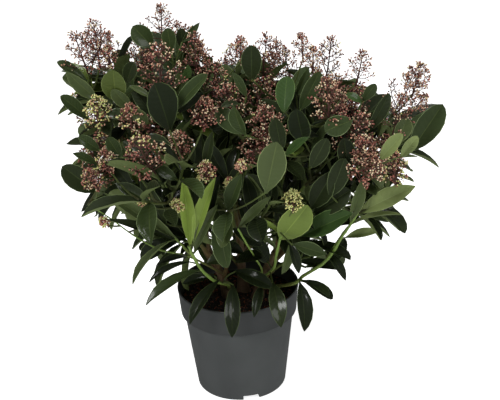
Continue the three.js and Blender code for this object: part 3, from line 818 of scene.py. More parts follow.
def grow_sprigs(place_at, bearing, plan, seed):
    """Short sprigs with a few leaves off a shoot or bough. place_at gives the point at a share of it."""
    random = seeded(seed)
    first, step, spread = SPRIG_STARTS
    sprigs = []
    for k in range(SPRIGS_PER_SHOOT):
        start = place_at(first + step * k + spread * random())
        leaving = tilted(bearing, math.radians(SPRIG_TILT), 2 * math.pi * random())
        length = mix(*SPRIG_LENGTHS, random())
        axis = (leaving + bearing * 0.6).normalized()
        middle = start + leaving * (SPRIG_KNEE * length)
        end = middle + axis * ((1 - SPRIG_KNEE) * length)
        sprig = {"start": start, "middle": middle, "end": end, "axis": axis, "head": 0,
                 "turn": 2 * math.pi * random(), "radii": SPRIG_RADII, "plan": plan}
        sprig["leaves"] = grow_leaves(sprig, random, LEAVES_PER_SPRIG, SPRIG_LEAF)
        if in_own_space([middle, end], plan, SPRIG_INTERLOCK) and clear_of_limbs([middle, end]):
            sprigs.append(sprig)
    return sprigs


def twig_mesh(twig):
    """A shoot or sprig as a limb with a rounded corner. Without a head it ends at its highest leaf."""
    start, middle, end = twig["start"], twig["middle"], twig["end"]
    if not twig["head"]:
        end = middle.lerp(end, twig.get("reach", 0) + BARE_END)
    points = [start, start.lerp(middle, 0.5), middle.lerp(start, TWIG_ROUNDING),
              middle.lerp(end, TWIG_ROUNDING), middle.lerp(end, 0.6), end]
    shares = (0, 0.25, 0.45, 0.55, 0.8, 1)
    return limb_mesh(points, [mix(*twig["radii"], share) for share in shares], TWIG_SIDES)


shoots = [shoot for plan in plans for shoot in grow_shoots(plan)]
sprigs = []
for n, shoot in enumerate(shoots):
    if not shoot["plan"]["skirt"]:
        lower_half = partial(Vector.lerp, shoot["start"], shoot["middle"])
        sprigs += grow_sprigs(lower_half, shoot["axis"], shoot["plan"], SHOOT_SPRIG_SEED + n)
for plan in plans:
    if not plan["skirt"]:
        for n, first in enumerate(BOUGH_SPRIGS):
            def place_at(share):
                return curve_point(plan["bough"]["curve"], first + BOUGH_SPRIG_SPAN * share)
            sprigs += grow_sprigs(place_at, plan["axis"], plan, BOUGH_SPRIG_SEED + 10 * plan["seed"] + n)
MASS_NODES = [f"leaves_{plan['name']}" for plan in plans]
carriers = [point for limb in limbs for point in along_curve(limb, 20)[0]]
carriers += [point for row, _ in low_shoots for point in row]
carriers += [point for shoot in shoots for point in (shoot["start"], shoot["middle"], shoot["end"])]
placed_twigs = []


def carry(foot, direction):
    """A thin twig that sags from the nearest or a lower limb and rises to the foot of a leaf or head."""
    nearest = min(carriers, key=lambda point: (point - foot).length + 1.5 * max(0, point.z - foot.z))
    reach = (foot - nearest).length
    if reach > 1:
        middle = nearest.lerp(foot, 0.5) + (direction - UP * 0.3) * (-0.12 * reach)
        row = smooth_row([nearest, middle, foot + direction * 2], PLACED_TWIG_STEPS)
        radii = [mix(*PLACED_TWIG_RADIUS, k / PLACED_TWIG_STEPS) for k in range(len(row))]
        placed_twigs.append((row, radii))


shoot_bark = bark("shoot_skin", [(0, "#3d3d20"), (0.5, "#434d24"), (1, "#4e5d2a")], 1.0, 0.4, 0.15, 0.5)


# ---- Flower heads ----
# Every flowering shoot ends in a panicle: a dark red stalk with branches that turn round it and carry knots
# of rose, salmon and tan buds in darker cups. Domes are still closed; the spires of the crest have opened.
HEAD_FOOT = -0.1
HEAD_SIDES = 6
HEAD_TIERS = [  # share of the height, reach of the lobes and of the hollows
    (0.04, 1.7, 1.5), (0.24, 3, 2), (0.5, 28, 11), (0.8, 21, 9)]
HEAD_FORMS = {
    # form: branch reach at shares of the height, branches, buds at shares of a branch, stalk and bud length
    "dome": ([(0.2, 18), (0.38, 28), (0.6, 26), (0.8, 18), (1.0, 4)], 21, [(0.55, 2), (0.8, 3), (1.0, 6)],
             (3.2, 6.8), (2.7, 3.8)),
    "spire": ([(0.2, 33), (0.42, 27), (0.7, 17), (0.9, 8), (1.0, 3)], 16, [(0.5, 2), (0.75, 2), (1.0, 5)],
              (4.0, 8.0), (2.5, 3.5)),
}
STALK_RADIUS = 1.4
HEAD_TOP = 0.87  # share of the height up to which the main stalk goes
BRANCH_HEIGHTS = (0.2, 0.99)
BRANCH_TOP = 0.93  # share of the height at which the highest branch ends
TIP_SPREAD, SIDE_SPREAD = (25, 75), (50, 85)  # degrees between a branch and its buds, at its tip and along it
STRAY_GREEN = 0.04  # share of green knots on a ripe head
STRAY_TONES = 0.15  # share of buds in another tone than their knot's
HEAD_SEED = 9000
BUD_TONES = {
    # tone: petals, cups, how often in a hundred
    "rose": ("#a2685a", "#56362d", 30),
    "salmon": ("#bd9479", "#66473a", 26),
    "tan": ("#d6c3a0", "#7c614a", 23),
    "russet": ("#805546", "#49332a", 21),
    "cream_green": ("#d3d18c", "#8d9048", 0),
}
FRONT_HEADS = [
    # form, foot, tip, share of green knots
    ("dome", (85, -146, 362), (85, -152, 398), 1.0),
    ("dome", (-79, -154, 372), (-79, -158, 394), 0.9),
    ("dome", (-128, -140, 377), (-125, -143, 397), 0.7),
    ("spire", (20, -62, 559), (20, -66, 599), 0.0),
    ("spire", (108, -50, 554), (106, -52, 595), 0.0),
    ("spire", (183, -56, 517), (194, -60, 569), 0.0),
    ("dome", (-184, -120, 491), (-181, -128, 542), 0.9),
    ("dome", (264, -50, 493), (277, -54, 545), 0.0),
    ("dome", (-185, -94, 326), (-194, -98, 341), 0.5),
    ("dome", (-6, -130, 392), (-3, -132, 412), 0.8),
    ("spire", (-180, -60, 561), (-184, -64, 632), 0.0),
    ("spire", (-162, -74, 565), (-168, -78, 597), 0.0),
    ("spire", (-45, -60, 540), (-44, -64, 607), 0.0),
    ("dome", (-37, -128, 485), (-32, -136, 537), 0.0),
    ("spire", (121, -62, 540), (122, -64, 579), 0.0),
    ("dome", (-134, -150, 495), (-134, -156, 539), 0.15),
    ("dome", (-190, -132, 401), (-204, -138, 437), 0.25),
    ("dome", (-70, -140, 446), (-71, -146, 492), 0.0),
    ("dome", (-36, -146, 413), (-35, -150, 447), 0.5),
    ("dome", (13, -142, 425), (14, -144, 444), 0.4),
    ("dome", (190, -134, 419), (186, -142, 473), 0.0),
    ("dome", (234, -110, 379), (230, -114, 434), 0.35),
    ("dome", (-171, -132, 428), (-173, -138, 469), 0.1),
    ("spire", (-198, -60, 553), (-213, -64, 616), 0.0),
    ("spire", (-190, -58, 567), (-165, -62, 613), 0.0),
    ("spire", (-45, -50, 546), (-36, -54, 589), 0.0),
    ("dome", (-93, -104, 526), (-93, -110, 609), 0.0),
    ("spire", (-94, 6, 566), (-92, 2, 630), 0.0),
    ("spire", (234, -74, 446), (250, -80, 509), 0.0),
    ("spire", (263, -60, 472), (284, -62, 499), 0.0),
    ("dome", (140, -112, 477), (138, -118, 552), 0.0),
]
BARE_TIPS = {  # mass: which of its flowering shoots, counted from the leader, lost their heads
    "crest_far_left": [1], "crest_left": [0], "crest_middle": [1], "crest_far_right": [2],
    "upper_front_left": [0], "upper_front_middle": [1], "upper_front_right": [0], "side_right": [1],
    "front_middle": [0, 1], "front_right": [2], "low_front": [0]}
GREEN_HEADS = {"side_left": 0.55, "side_right": 0.2}  # mass: share of its knots that are green


def head_rings(shoot):
    """The plain outline of a head, which leaves keep out of."""
    def ring(k, height, lobe, hollow):
        centre = shoot["end"] + shoot["axis"] * (height * shoot["head"])
        sizes = [(hollow if (i + k) % 2 else lobe) * shoot["head"] / HEAD_LENGTH for i in range(HEAD_SIDES)]
        turns = [shoot["turn"] + 2 * math.pi * i / HEAD_SIDES for i in range(HEAD_SIDES)]
        return [centre + around(shoot["axis"], turn) * size for turn, size in zip(turns, sizes)]
    foot = shoot["end"] + shoot["axis"] * (HEAD_FOOT * shoot["head"])
    tip = shoot["end"] + shoot["axis"] * shoot["head"]
    return [[foot], *[ring(k, *tier) for k, tier in enumerate(HEAD_TIERS)], [tip]]


def head_reach(profile, height):
    """How far a branch reaches at a share of the head's height."""
    return float(np.interp(height, *zip(*profile)))


def grow_head(shoot, seed):
    """A head's stalks as rows of points with radii, and its buds: place, direction, size and tone."""
    random = seeded(seed)
    foot, axis, length, green = shoot["end"], shoot["axis"], shoot["head"], shoot["green"]
    size = length / HEAD_LENGTH
    top = foot + axis * (HEAD_TOP * length)
    bow = around(axis, shoot["turn"]) * (2.5 * size)
    spine = [foot - axis * 3, foot.lerp(top, 0.35) + bow, foot.lerp(top, 0.7) + bow * 0.6, top]
    stalks = [(spine, [STALK_RADIUS * 1.1, STALK_RADIUS, 0.85, 0.6])]
    buds = []
    tones = [tone for tone, (_, _, often) in BUD_TONES.items() for _ in range(often)]
    profile, branches, knots, bud_stalk, bud_length = HEAD_FORMS[shoot["form"]]
    for k in range(branches):
        height = mix(*BRANCH_HEIGHTS, (k / (branches - 1)) ** 0.85)
        reach = head_reach(profile, height) * size * mix(0.8, 1.12, random())
        outward = around(axis, shoot["turn"] + math.radians(k * GOLDEN_ANGLE + 25 * random()))
        level = height * BRANCH_TOP * length
        rise = min(reach * 0.75, 0.5 * height * length)
        start, end = foot + axis * (level - rise), foot + axis * level + outward * reach
        middle = start.lerp(end, 0.5) + (outward - axis) * (0.08 * reach)
        stalks.append(([start, middle, end], [0.95 * size, 0.75 * size, 0.5 * size]))
        heading = (end - middle).normalized()
        for share, count in knots:
            tone = "cream_green" if random() < green else tones[int(random() * len(tones))]
            knot = middle.lerp(end, 2 * share - 1) if share > 0.5 else start.lerp(middle, 2 * share)
            for n in range(count):
                spread = math.radians(mix(*(TIP_SPREAD if share == 1 else SIDE_SPREAD), random()))
                aside = tilted(heading, spread, 2 * math.pi * (n / count + 0.3 * random()))
                facing = (aside + axis * 0.25).normalized()
                bud = knot + facing * mix(*bud_stalk, random()) * size
                bud_size = mix(*bud_length, random()) * mix(0.85, 1, size)
                stalks.append(([knot, bud], [0.5 * size, 0.45 * size]))
                stray = green < 1 and random() >= 1 - STRAY_TONES
                buds.append((bud, facing, bud_size, tones[int(random() * len(tones))] if stray else tone))
    return stalks, buds


def stalk_mesh(points, radii):
    """A stalk with flat ends: three-sided under a bud and five-sided elsewhere."""
    sides = 3 if len(points) == 2 else 5
    axis = (points[-1] - points[0]).normalized()
    turns = [around(axis, 2 * math.pi * i / sides) for i in range(sides)]
    rings = [[point + turn * radius for turn in turns] for point, radius in zip(points, radii)]
    vertices, faces = loft(rings)
    return vertices, faces, [0.5] * len(vertices)


def smooth_shape(name, lump):
    """A small smooth mesh with outward faces as an object for Geometry Nodes to place."""
    bmesh.ops.recalc_face_normals(lump, faces=lump.faces)
    for face in lump.faces:
        face.smooth = True
    return shape_object(name, lump)


def bud_shape(name, widths):
    """A six-sided bud one unit long along +Y. Faces carry their part: 0 petals, 1 the cup at its foot."""
    sides = 6
    lump = bmesh.new()
    part = lump.faces.layers.int.new("part")
    rings = [[lump.verts.new((w * math.cos(a), y, w * math.sin(a)))
              for a in (2 * math.pi * (i + 0.5 * (k % 2)) / sides for i in range(sides))]
             for k, (y, w) in enumerate(widths)]
    foot, tip = lump.verts.new((0, -0.08, 0)), lump.verts.new((0, 1, 0))
    for i in range(sides):
        j = (i + 1) % sides
        lump.faces.new((foot, rings[0][j], rings[0][i]))[part] = 1
        for k in range(len(rings) - 1):
            corners = (rings[k][i], rings[k][j], rings[k + 1][j], rings[k + 1][i])
            lump.faces.new(corners)[part] = int(k == 0)
        lump.faces.new((rings[-1][i], rings[-1][j], tip))
    return smooth_shape(name, lump)


def placed_tree(name, parts):
    """Shapes set on a mesh's points by its attributes turn, size and kind, with a material for each part."""
    tree, given = group_with(name, [("Shapes", "NodeSocketCollection", None)]
                             + [(part, "NodeSocketMaterial", None) for part in parts])
    kinds = {"turn": "FLOAT_VECTOR", "size": "FLOAT_VECTOR", "kind": "INT", "part": "INT"}
    named = {label: add(tree, "GeometryNodeInputNamedAttribute", {"Name": label}, data_type=kind)
             for label, kind in kinds.items()}
    shapes = add(tree, "GeometryNodeCollectionInfo", {
        "Collection": (given, "Shapes"), "Separate Children": True, "Reset Children": True})
    placed = add(tree, "GeometryNodeInstanceOnPoints", {
        "Points": (given, "Geometry"), "Instance": (shapes, "Instances"), "Pick Instance": True,
        "Instance Index": (named["kind"], 0), "Rotation": (named["turn"], 0), "Scale": (named["size"], 0)})
    shown = add(tree, "GeometryNodeRealizeInstances", {"Geometry": (placed, "Instances")})
    for number, part in enumerate(parts):
        chosen = add(tree, "FunctionNodeCompare", {2: (named["part"], 0), 3: number},
                     data_type="INT", operation="EQUAL")
        shown = add(tree, "GeometryNodeSetMaterial", {
            "Geometry": (shown, "Geometry"), "Selection": (chosen, 0), "Material": (given, part)})
    add(tree, "NodeGroupOutput", {"Geometry": (shown, "Geometry")})
    return tree


def placed_piece(name, tree, shapes, materials, places):
    """A joined piece of shapes. Each place is a point in mm, a rotation matrix, a size in mm and a kind."""
    piece = mesh_piece(name, [place[0] for place in places], [], [])
    turns = [angle for place in places for angle in place[1].to_euler()]
    sizes = [length * MM for place in places for length in place[2]]
    kinds = [place[3] for place in places]
    for label, kind, field, values in (
            ("turn", "FLOAT_VECTOR", "vector", turns), ("size", "FLOAT_VECTOR", "vector", sizes),
            ("kind", "INT", "value", kinds)):
        piece.data.attributes.new(label, kind, "POINT").data.foreach_set(field, values)
    add_nodes_modifier(piece, tree, {"Shapes": shapes, **materials})
    return apply_modifiers(piece)


def facing_matrix(direction, normal):
    """The rotation that lays a shape's +Y along a direction and its +Z towards a normal."""
    side = direction.cross(normal).normalized()
    return Matrix((side, direction, side.cross(direction))).transposed()


def petal(name, colour, roughness=0.55):
    """Fleshy bud skin: an even colour with a soft sheen, and light that passes a little way into it."""
    material, tree, surface = shader(
        name, Base_Color=linear(colour), Roughness=roughness, Specular_IOR_Level=0.35,
        Subsurface_Weight=0.12, Subsurface_Scale=0.002)
    add_relief(tree, surface, (grain_noise(tree, add(tree, "ShaderNodeTexCoord"), 900), "Fac"), 0.4, 0.4)
    return material


bud_shapes = bpy.data.collections.new("bud_shapes")
bud_shapes.objects.link(bud_shape("bud_0", [(0.04, 0.2), (0.42, 0.4), (0.8, 0.3)]))
bud_shapes.objects.link(bud_shape("bud_1", [(0.02, 0.24), (0.5, 0.36), (0.86, 0.2)]))
head_stalks, buds_by_tone = [], {tone: [] for tone in BUD_TONES}
heads = []
for shoot in shoots:
    mass = shoot["plan"]["name"]
    if shoot["head"] and shoot["order"] not in BARE_TIPS.get(mass, []):
        form = "spire" if mass.startswith("crest") else "dome"
        heads.append({**shoot, "form": form, "green": GREEN_HEADS.get(mass, STRAY_GREEN)})
for form, foot, tip, green in FRONT_HEADS:
    foot, span = Vector(foot), Vector(tip) - Vector(foot)
    axis = span.normalized()
    heads.append({"end": foot, "axis": axis, "head": span.length, "turn": 0, "form": form, "green": green})
    carry(foot, axis)
for n, head in enumerate(heads):
    stalks, buds = grow_head(head, HEAD_SEED + n)
    head_stalks += [stalk_mesh(*stalk) for stalk in stalks]
    for k, (place, facing, length, tone) in enumerate(buds):
        matrix, width = facing_matrix(facing, around(facing, k)), length * 0.95
        buds_by_tone[tone].append((place - facing * 0.4, matrix, (width, length, width), k % 2))
stalk_skin = petal("flower_stalk", "#55372f", 0.6)
stalk_piece = limbs_piece("flower_stalks", head_stalks, stalk_skin)
finish_piece(stalk_piece, "foliage", *MASS_NODES)
bud_tree = placed_tree("set_buds", ["Petals", "Cups"])
for tone, (petals, cups, _) in BUD_TONES.items():
    piece = placed_piece(f"buds_{tone}", bud_tree, bud_shapes, {
        "Petals": petal(f"{tone}_petals", petals), "Cups": petal(f"{tone}_cups", cups)}, buds_by_tone[tone])
    finish_piece(piece, "foliage", *MASS_NODES)


# ---- Leaves ----
# Evergreen leaves, leathery and long oval, folded a little along the midrib, with a fine pale margin and a
# paler underside. They stand in loose spirals that close up into a ring below each head. The large ones in
# the front are laid first, then the rule's leaves wherever they cross nothing.
LEAF_KEEL = 2.4  # how deep in mm a leaf's plain outline hangs below its edges
LEAF_FOLD = 1.6  # how far in mm its edges rise above its midrib
LEAF_WIDTHS = (0.9, 1.04)  # share of the width at its two rings
LEAF_TRIALS = [(0, 1), (0, 0.82), (0, 0.66)]  # degrees aside, share of the length
TURNED_TRIALS = [(35, 0.9), (-35, 0.9), (75, 0.85), (-75, 0.85), (120, 0.7), (-120, 0.7), (180, 0.7)]
SPRIG_TRIALS = [(0, 1), (0, 0.8), (40, 0.9), (-40, 0.9), (90, 0.75), (-90, 0.75)]
INTERLOCK = 30  # how far in mm a leaf may reach over into the next mass
EXTRA_INTERLOCK = 50
SLOPE = 0.466
SKYLINE = [  # x and the height up to which leaves reach there, less SLOPE mm for each mm further back
    (-256, 549), (-219, 541), (-186, 552), (-146, 572), (-137, 596), (-124, 600), (-96, 588), (-62, 590),
    (-52, 601), (-44, 574), (-32, 539), (0, 538), (23, 552), (29, 563), (42, 561), (50, 539), (64, 526),
    (113, 530), (149, 513), (186, 502), (211, 488), (240, 484), (247, 439), (268, 438), (282, 462),
    (319, 458)]
SKYLINE_MARGIN = 4
GAP = 0.3
POT_CLEARANCE = 3
OUTWARD = Vector((0, -0.9, 0.42))
LANE_DEPTH = 90  # how far in mm the room in front of placed leaves and low shoots is kept free
LANE_WIDTH = 3
LANE_STEP = 7
LANE_WIDEST = 0.55
VEINS = 10
EDGE_HALF = 0.08  # least half width, as a share of the widest
WAVES = 9  # how fast the edge ripples along the leaf
ROLL = 30  # degrees over which leaves turn about their own length
BLADE_WIDTHS = (0.82, 1.06)  # share of the usual width, from and to
LEAF_SEED = 20000
BLADE_STATIONS = (0, 0.08, 0.22, 0.4, 0.58, 0.74, 0.88, 0.96, 1)
BLADE_SECTION = [  # share of the half width and depth below the upper side, across and back underneath
    (-1, 0), (-0.95, 0), (-0.5, 0), (-0.04, 0.002), (0.04, 0.002), (0.5, 0), (0.95, 0), (1, 0),
    (0.1, 0.013), (-0.1, 0.013)]
BLADE_BENDS = (8, 15, 22, 29, 36)
BLADE_OUTLINES = {  # how the width swells from the foot and tapers off
    "spoon": (1.1, 0.62), "oval": (0.85, 0.6), "lance": (1.2, 1.0)}
BLADE_KINDS = [  # outline, degrees of twist, wave of the edge, fold along the midrib; lances come last
    ("spoon", 9, 0.05, 0.65), ("spoon", -13, 0.1, 0.85), ("lance", -8, 0.06, 0.7), ("lance", 14, 0.1, 0.95)]
PLACED_KINDS = [(-8, 0.06, 0.7), (8, 0.04, 0.5)]  # twist, wave and fold of the placed leaves, in turn
LANCE_SHARE = (0.85, 0.45)  # how many leaves are lances, low down and at the top
# Tones are dealt at random, as leaves differ on the plant; that deep ones prevail low down and lighter ones
# at the top is painted shade under the crown.
LEAF_TONES = {
    # tone: colours of the upper side, midrib and margin, how often in a hundred low down and at the top
    "deep": ("#1a2211", "#2b3519", "#55643c", 50, 24),
    "dark": ("#262f18", "#374224", "#617048", 29, 31),
    "mid": ("#344122", "#46532c", "#74855a", 14, 24),
    "olive": ("#475330", "#556137", "#7c8958", 7, 15),
    "bright": ("#617233", "#6f813b", "#82934c", 0, 6),
    "green": ("#344a22", "#465c2c", "#668048", 0, 0),
    "lime": ("#758a3b", "#839844", "#8fa252", 0, 0),
    "lime_dark": ("#495626", "#57642d", "#687641", 0, 0),
    # pale: in part a painted sheen, for leaves where light glances off the wax.
    "pale": ("#76834f", "#828f5a", "#909d68", 0, 0),
}
LOW_LEAVES, HIGH_LEAVES = 250, 450  # heights in mm between which outlines and tones go over
# The leaves low over the rim, and the large spoon in front, take the deep tone, in part as painted shade
# under the leaves above them.
FRONT_LEAVES = [
    # tone, outline, foot, tip, width, bend in degrees, the way the upper side faces
    ("lime", "lance", (-65, -126, 302), (-68, -152, 425), 21, 14, (0.15, -0.9, 0.4)),
    ("lime", "lance", (-59, -132, 311), (-22, -158, 426), 19, 22, (-0.4, -0.85, 0.3)),
    ("deep", "lance", (-56, -116, 291), (-16, -138, 419), 27, 16, (-0.25, -0.9, 0.35)),
    ("olive", "lance", (-60, -124, 291), (-21, -152, 381), 17, 22, (-0.4, -0.8, 0.4)),
    ("mid", "lance", (-61, -112, 306), (-56, -128, 421), 20, 14, (0.2, -0.9, 0.4)),
    ("dark", "lance", (-97, -118, 329), (-128, -140, 421), 26, 16, (-0.2, -0.85, 0.5)),
    ("olive", "lance", (-83, -118, 310), (-183, -136, 398), 18, 22, (-0.3, -0.6, 0.75)),
    ("dark", "lance", (-74, -114, 299), (-184, -120, 349), 18, 14, (0, -0.5, 0.85)),
    ("mid", "oval", (-135, -96, 329), (-176, -104, 386), 32, 12, (0.2, 0.9, -0.2)),
    ("mid", "spoon", (-119, -104, 334), (-158, -98, 347), 20, 20, (0.0, 0.8, -0.4)),
    ("olive", "lance", (-93, -116, 309), (-151, -150, 256), 12, 40, (-0.5, -0.35, 0.8)),
    ("deep", "lance", (-66, -100, 264), (-129, -126, 246), 15, 50, (-0.2, -0.4, 0.9)),
    ("deep", "lance", (-71, -90, 267), (-114, -104, 265), 12, 40, (-0.1, -0.4, 0.9)),
    ("mid", "lance", (-52, -98, 249), (-135, -146, 218), 23, 48, (-0.25, -0.4, 0.85)),
    ("deep", "lance", (-32, -66, 221), (-84, -62, 207), 17, 25, (0, -0.5, 0.9)),
    ("deep", "lance", (-26, -72, 217), (-73, -122, 170), 21, 58, (-0.25, -0.6, 0.75)),
    ("deep", "lance", (-6, -74, 210), (-11, -124, 146), 24, 62, (0, -0.7, 0.7)),
    ("dark", "lance", (53, -74, 211), (63, -126, 161), 26, 62, (0.1, -0.7, 0.7)),
    ("deep", "lance", (94, -66, 206), (98, -108, 142), 26, 56, (0.25, -0.65, 0.7)),
    ("deep", "spoon", (97, -62, 206), (143, -92, 187), 20, 40, (0.3, -0.5, 0.8)),
    ("deep", "lance", (37, -68, 203), (23, -112, 172), 15, 60, (0, -0.65, 0.75)),
    ("deep", "oval", (-3, -58, 224), (52, -86, 209), 24, 30, (0, -0.6, 0.8)),
    ("deep", "spoon", (100, -58, 265), (171, -84, 248), 23, 46, (0.1, -0.4, 0.9)),
    ("deep", "lance", (134, -62, 255), (163, -88, 215), 17, 34, (0.4, -0.5, 0.75)),
    ("deep", "lance", (93, -52, 232), (158, -62, 220), 20, 16, (0.1, -0.5, 0.85)),
    ("bright", "oval", (66, -118, 305), (106, -146, 371), 44, 14, (0.15, -0.9, 0.4)),
    ("green", "lance", (97, -112, 305), (171, -132, 349), 35, 14, (0.0, -0.75, 0.65)),
    ("pale", "lance", (179, -106, 334), (263, -116, 380), 29, 20, (0.0, -0.7, 0.7)),
    ("pale", "lance", (169, -100, 314), (244, -112, 333), 9, 50, (0.1, -0.5, 0.85)),
    ("pale", "lance", (161, -94, 290), (213, -104, 304), 15, 34, (0.1, -0.6, 0.8)),
    ("olive", "lance", (169, -104, 321), (187, -122, 400), 18, 14, (0.2, -0.9, 0.4)),
    ("dark", "oval", (116, -106, 337), (169, -122, 381), 35, 14, (0, -0.8, 0.6)),
    ("dark", "lance", (111, -110, 346), (145, -128, 416), 33, 14, (0.1, -0.9, 0.45)),
    ("olive", "lance", (5, -118, 325), (55, -132, 381), 14, 24, (0.2, -0.7, 0.7)),
    ("olive", "lance", (60, -94, 275), (20, -108, 317), 8, 62, (-0.2, -0.6, 0.75)),
    ("lime", "lance", (67, -118, 313), (32, -128, 345), 8, 50, (-0.2, -0.6, 0.75)),
    ("olive", "spoon", (47, -172, 404), (64, -196, 491), 41, 10, (0.0, -0.95, 0.25)),
    ("deep", "spoon", (-82, -150, 494), (-98, -168, 572), 46, 22, (0.15, -0.8, 0.55)),
    ("lime_dark", "oval", (-156, -118, 529), (-155, -134, 581), 35, 12, (0.0, -0.95, 0.3)),
    ("mid", "oval", (266, -30, 398), (311, -34, 472), 38, 14, (-0.1, -0.95, 0.25)),
    ("pale", "oval", (208, -150, 438), (239, -158, 479), 20, 18, (-0.15, -0.8, 0.55)),
    ("pale", "oval", (239, -132, 433), (262, -136, 466), 17, 18, (0.1, -0.8, 0.55)),
    ("mid", "oval", (-105, -40, 579), (-131, -44, 613), 29, 14, (0.1, -0.9, 0.4)),
    ("mid", "spoon", (-199, -60, 538), (-240, -66, 572), 18, 20, (-0.1, -0.6, 0.8)),
    ("olive", "lance", (-185, -70, 512), (-227, -76, 561), 21, 20, (-0.3, -0.8, 0.5)),
    ("mid", "spoon", (-199, -66, 480), (-239, -72, 523), 21, 20, (-0.2, -0.6, 0.75)),
    ("dark", "oval", (-199, -76, 373), (-245, -80, 418), 35, 16, (-0.1, -0.85, 0.5)),
    ("dark", "oval", (34, -76, 536), (35, -80, 590), 30, 12, (-0.15, -0.92, 0.35)),
    ("mid", "lance", (-64, -50, 587), (-36, -52, 617), 11, 20, (0.4, -0.8, 0.4)),
    ("mid", "lance", (22, -150, 482), (8, -166, 534), 27, 30, (-0.5, -0.6, 0.7)),
    ("olive", "oval", (-136, -118, 518), (-159, -128, 551), 20, 16, (-0.2, -0.9, 0.35)),
    ("olive", "lance", (-105, -128, 535), (-135, -138, 558), 11, 24, (-0.25, -0.6, 0.75)),
    ("mid", "oval", (-75, -138, 520), (-26, -150, 575), 21, 18, (-0.35, -0.85, 0.35)),
    ("deep", "lance", (-70, -130, 512), (-33, -140, 546), 14, 14, (-0.1, -0.8, 0.6)),
    ("green", "lance", (-63, -96, 545), (-54, -104, 574), 13, 40, (0.5, -0.7, 0.5)),
    ("mid", "oval", (17, -128, 476), (-17, -106, 506), 27, 26, (-0.25, -0.79, 0.55)),
    ("dark", "lance", (16, -112, 515), (-11, -122, 516), 12, 40, (0.05, -0.45, 0.9)),
    ("mid", "lance", (26, -100, 519), (7, -106, 561), 13, 16, (0.2, -0.85, 0.45)),
    ("olive", "oval", (-112, -150, 506), (-129, -156, 530), 17, 30, (0.1, -0.9, 0.4)),
    ("mid", "spoon", (-78, -50, 574), (-82, -52, 611), 21, 14, (-0.2, -0.9, 0.4)),
    ("dark", "oval", (-61, -44, 574), (-64, -46, 608), 18, 14, (0.2, -0.9, 0.4)),
    ("mid", "lance", (-64, -40, 576), (-46, -44, 612), 6, 20, (0.5, -0.7, 0.5)),
    ("dark", "spoon", (-143, -92, 544), (-129, -96, 578), 21, 16, (0.0, -0.9, 0.4)),
    ("green", "oval", (77, -104, 496), (84, -72, 539), 28, 16, (-0.25, -0.79, 0.55)),
    ("mid", "lance", (95, -84, 513), (114, -92, 558), 15, 22, (0.35, -0.75, 0.5)),
    ("mid", "oval", (100, -96, 496), (129, -104, 556), 23, 14, (0.1, -0.9, 0.4)),
    ("deep", "oval", (104, -122, 458), (94, -132, 512), 32, 40, (-0.2, -0.8, 0.55)),
    ("mid", "oval", (172, -122, 488), (133, -132, 477), 30, 18, (0.05, -0.85, 0.5)),
    ("dark", "oval", (195, -104, 463), (225, -108, 521), 19, 22, (0.35, -0.8, 0.45)),
    ("mid", "spoon", (189, -84, 500), (208, -88, 528), 16, 16, (0.1, -0.85, 0.45)),
    ("green", "lance", (188, -96, 503), (164, -102, 520), 13, 30, (0.0, -0.6, 0.8)),
    ("olive", "oval", (240, -84, 436), (253, -86, 473), 25, 14, (0.1, -0.9, 0.4)),
    ("green", "lance", (76, -140, 445), (110, -148, 476), 14, 34, (0.1, -0.65, 0.75)),
    ("dark", "oval", (112, -132, 422), (135, -140, 470), 24, 14, (0.1, -0.9, 0.4)),
    ("dark", "spoon", (72, -132, 448), (64, -138, 502), 24, 16, (-0.1, -0.92, 0.35)),
    ("mid", "oval", (-185, -112, 453), (-212, -118, 479), 17, 18, (-0.25, -0.79, 0.55)),
    ("mid", "lance", (-189, -116, 433), (-223, -122, 455), 13, 24, (-0.1, -0.55, 0.8)),
    ("mid", "oval", (-154, -132, 449), (-170, -140, 485), 19, 14, (0.0, -0.92, 0.38)),
    ("dark", "lance", (-52, -132, 435), (-64, -140, 492), 13, 14, (0.2, -0.9, 0.35)),
    ("dark", "lance", (-37, -130, 425), (-24, -138, 487), 14, 14, (-0.2, -0.9, 0.35)),
    ("mid", "oval", (-77, -146, 418), (-106, -152, 445), 16, 20, (-0.2, -0.79, 0.58)),
    ("deep", "oval", (165, -128, 415), (159, -134, 467), 26, 14, (0.0, -0.92, 0.35)),
    ("dark", "oval", (139, -128, 375), (160, -136, 437), 29, 14, (0.1, -0.92, 0.35)),
    ("deep", "oval", (-1, -120, 371), (9, -128, 429), 23, 14, (0.0, -0.92, 0.35)),
    ("deep", "lance", (40, -60, 265), (-4, -80, 307), 24, 20, (-0.1, -0.7, 0.7)),
    ("deep", "oval", (48, -40, 227), (25, -60, 276), 26, 30, (0.0, -0.7, 0.7)),
    ("deep", "oval", (97, -30, 220), (124, -50, 267), 26, 24, (0.2, -0.7, 0.7)),
    ("deep", "oval", (142, -46, 226), (164, -66, 276), 24, 24, (0.2, -0.7, 0.7)),
    ("deep", "lance", (-47, -40, 252), (-67, -60, 300), 21, 20, (-0.2, -0.7, 0.7)),
    ("dark", "lance", (113, -66, 200), (138, -96, 193), 16, 60, (0.3, -0.5, 0.8)),
    ("deep", "oval", (-2, -56, 238), (39, -84, 257), 27, 40, (0.1, -0.5, 0.85)),
]


def leaf_axes(leaf, twig):
    """A leaf's direction and the way its upper side faces. All but the skirt turn up to the light."""
    axis, rise = twig["axis"], 0 if twig["plan"]["skirt"] else LEAF_RISE
    direction = (tilted(axis, leaf["tilt"], leaf["turn"]) + UP * rise).normalized()
    normal = axis + UP
    return direction, (normal - direction * normal.dot(direction)).normalized()


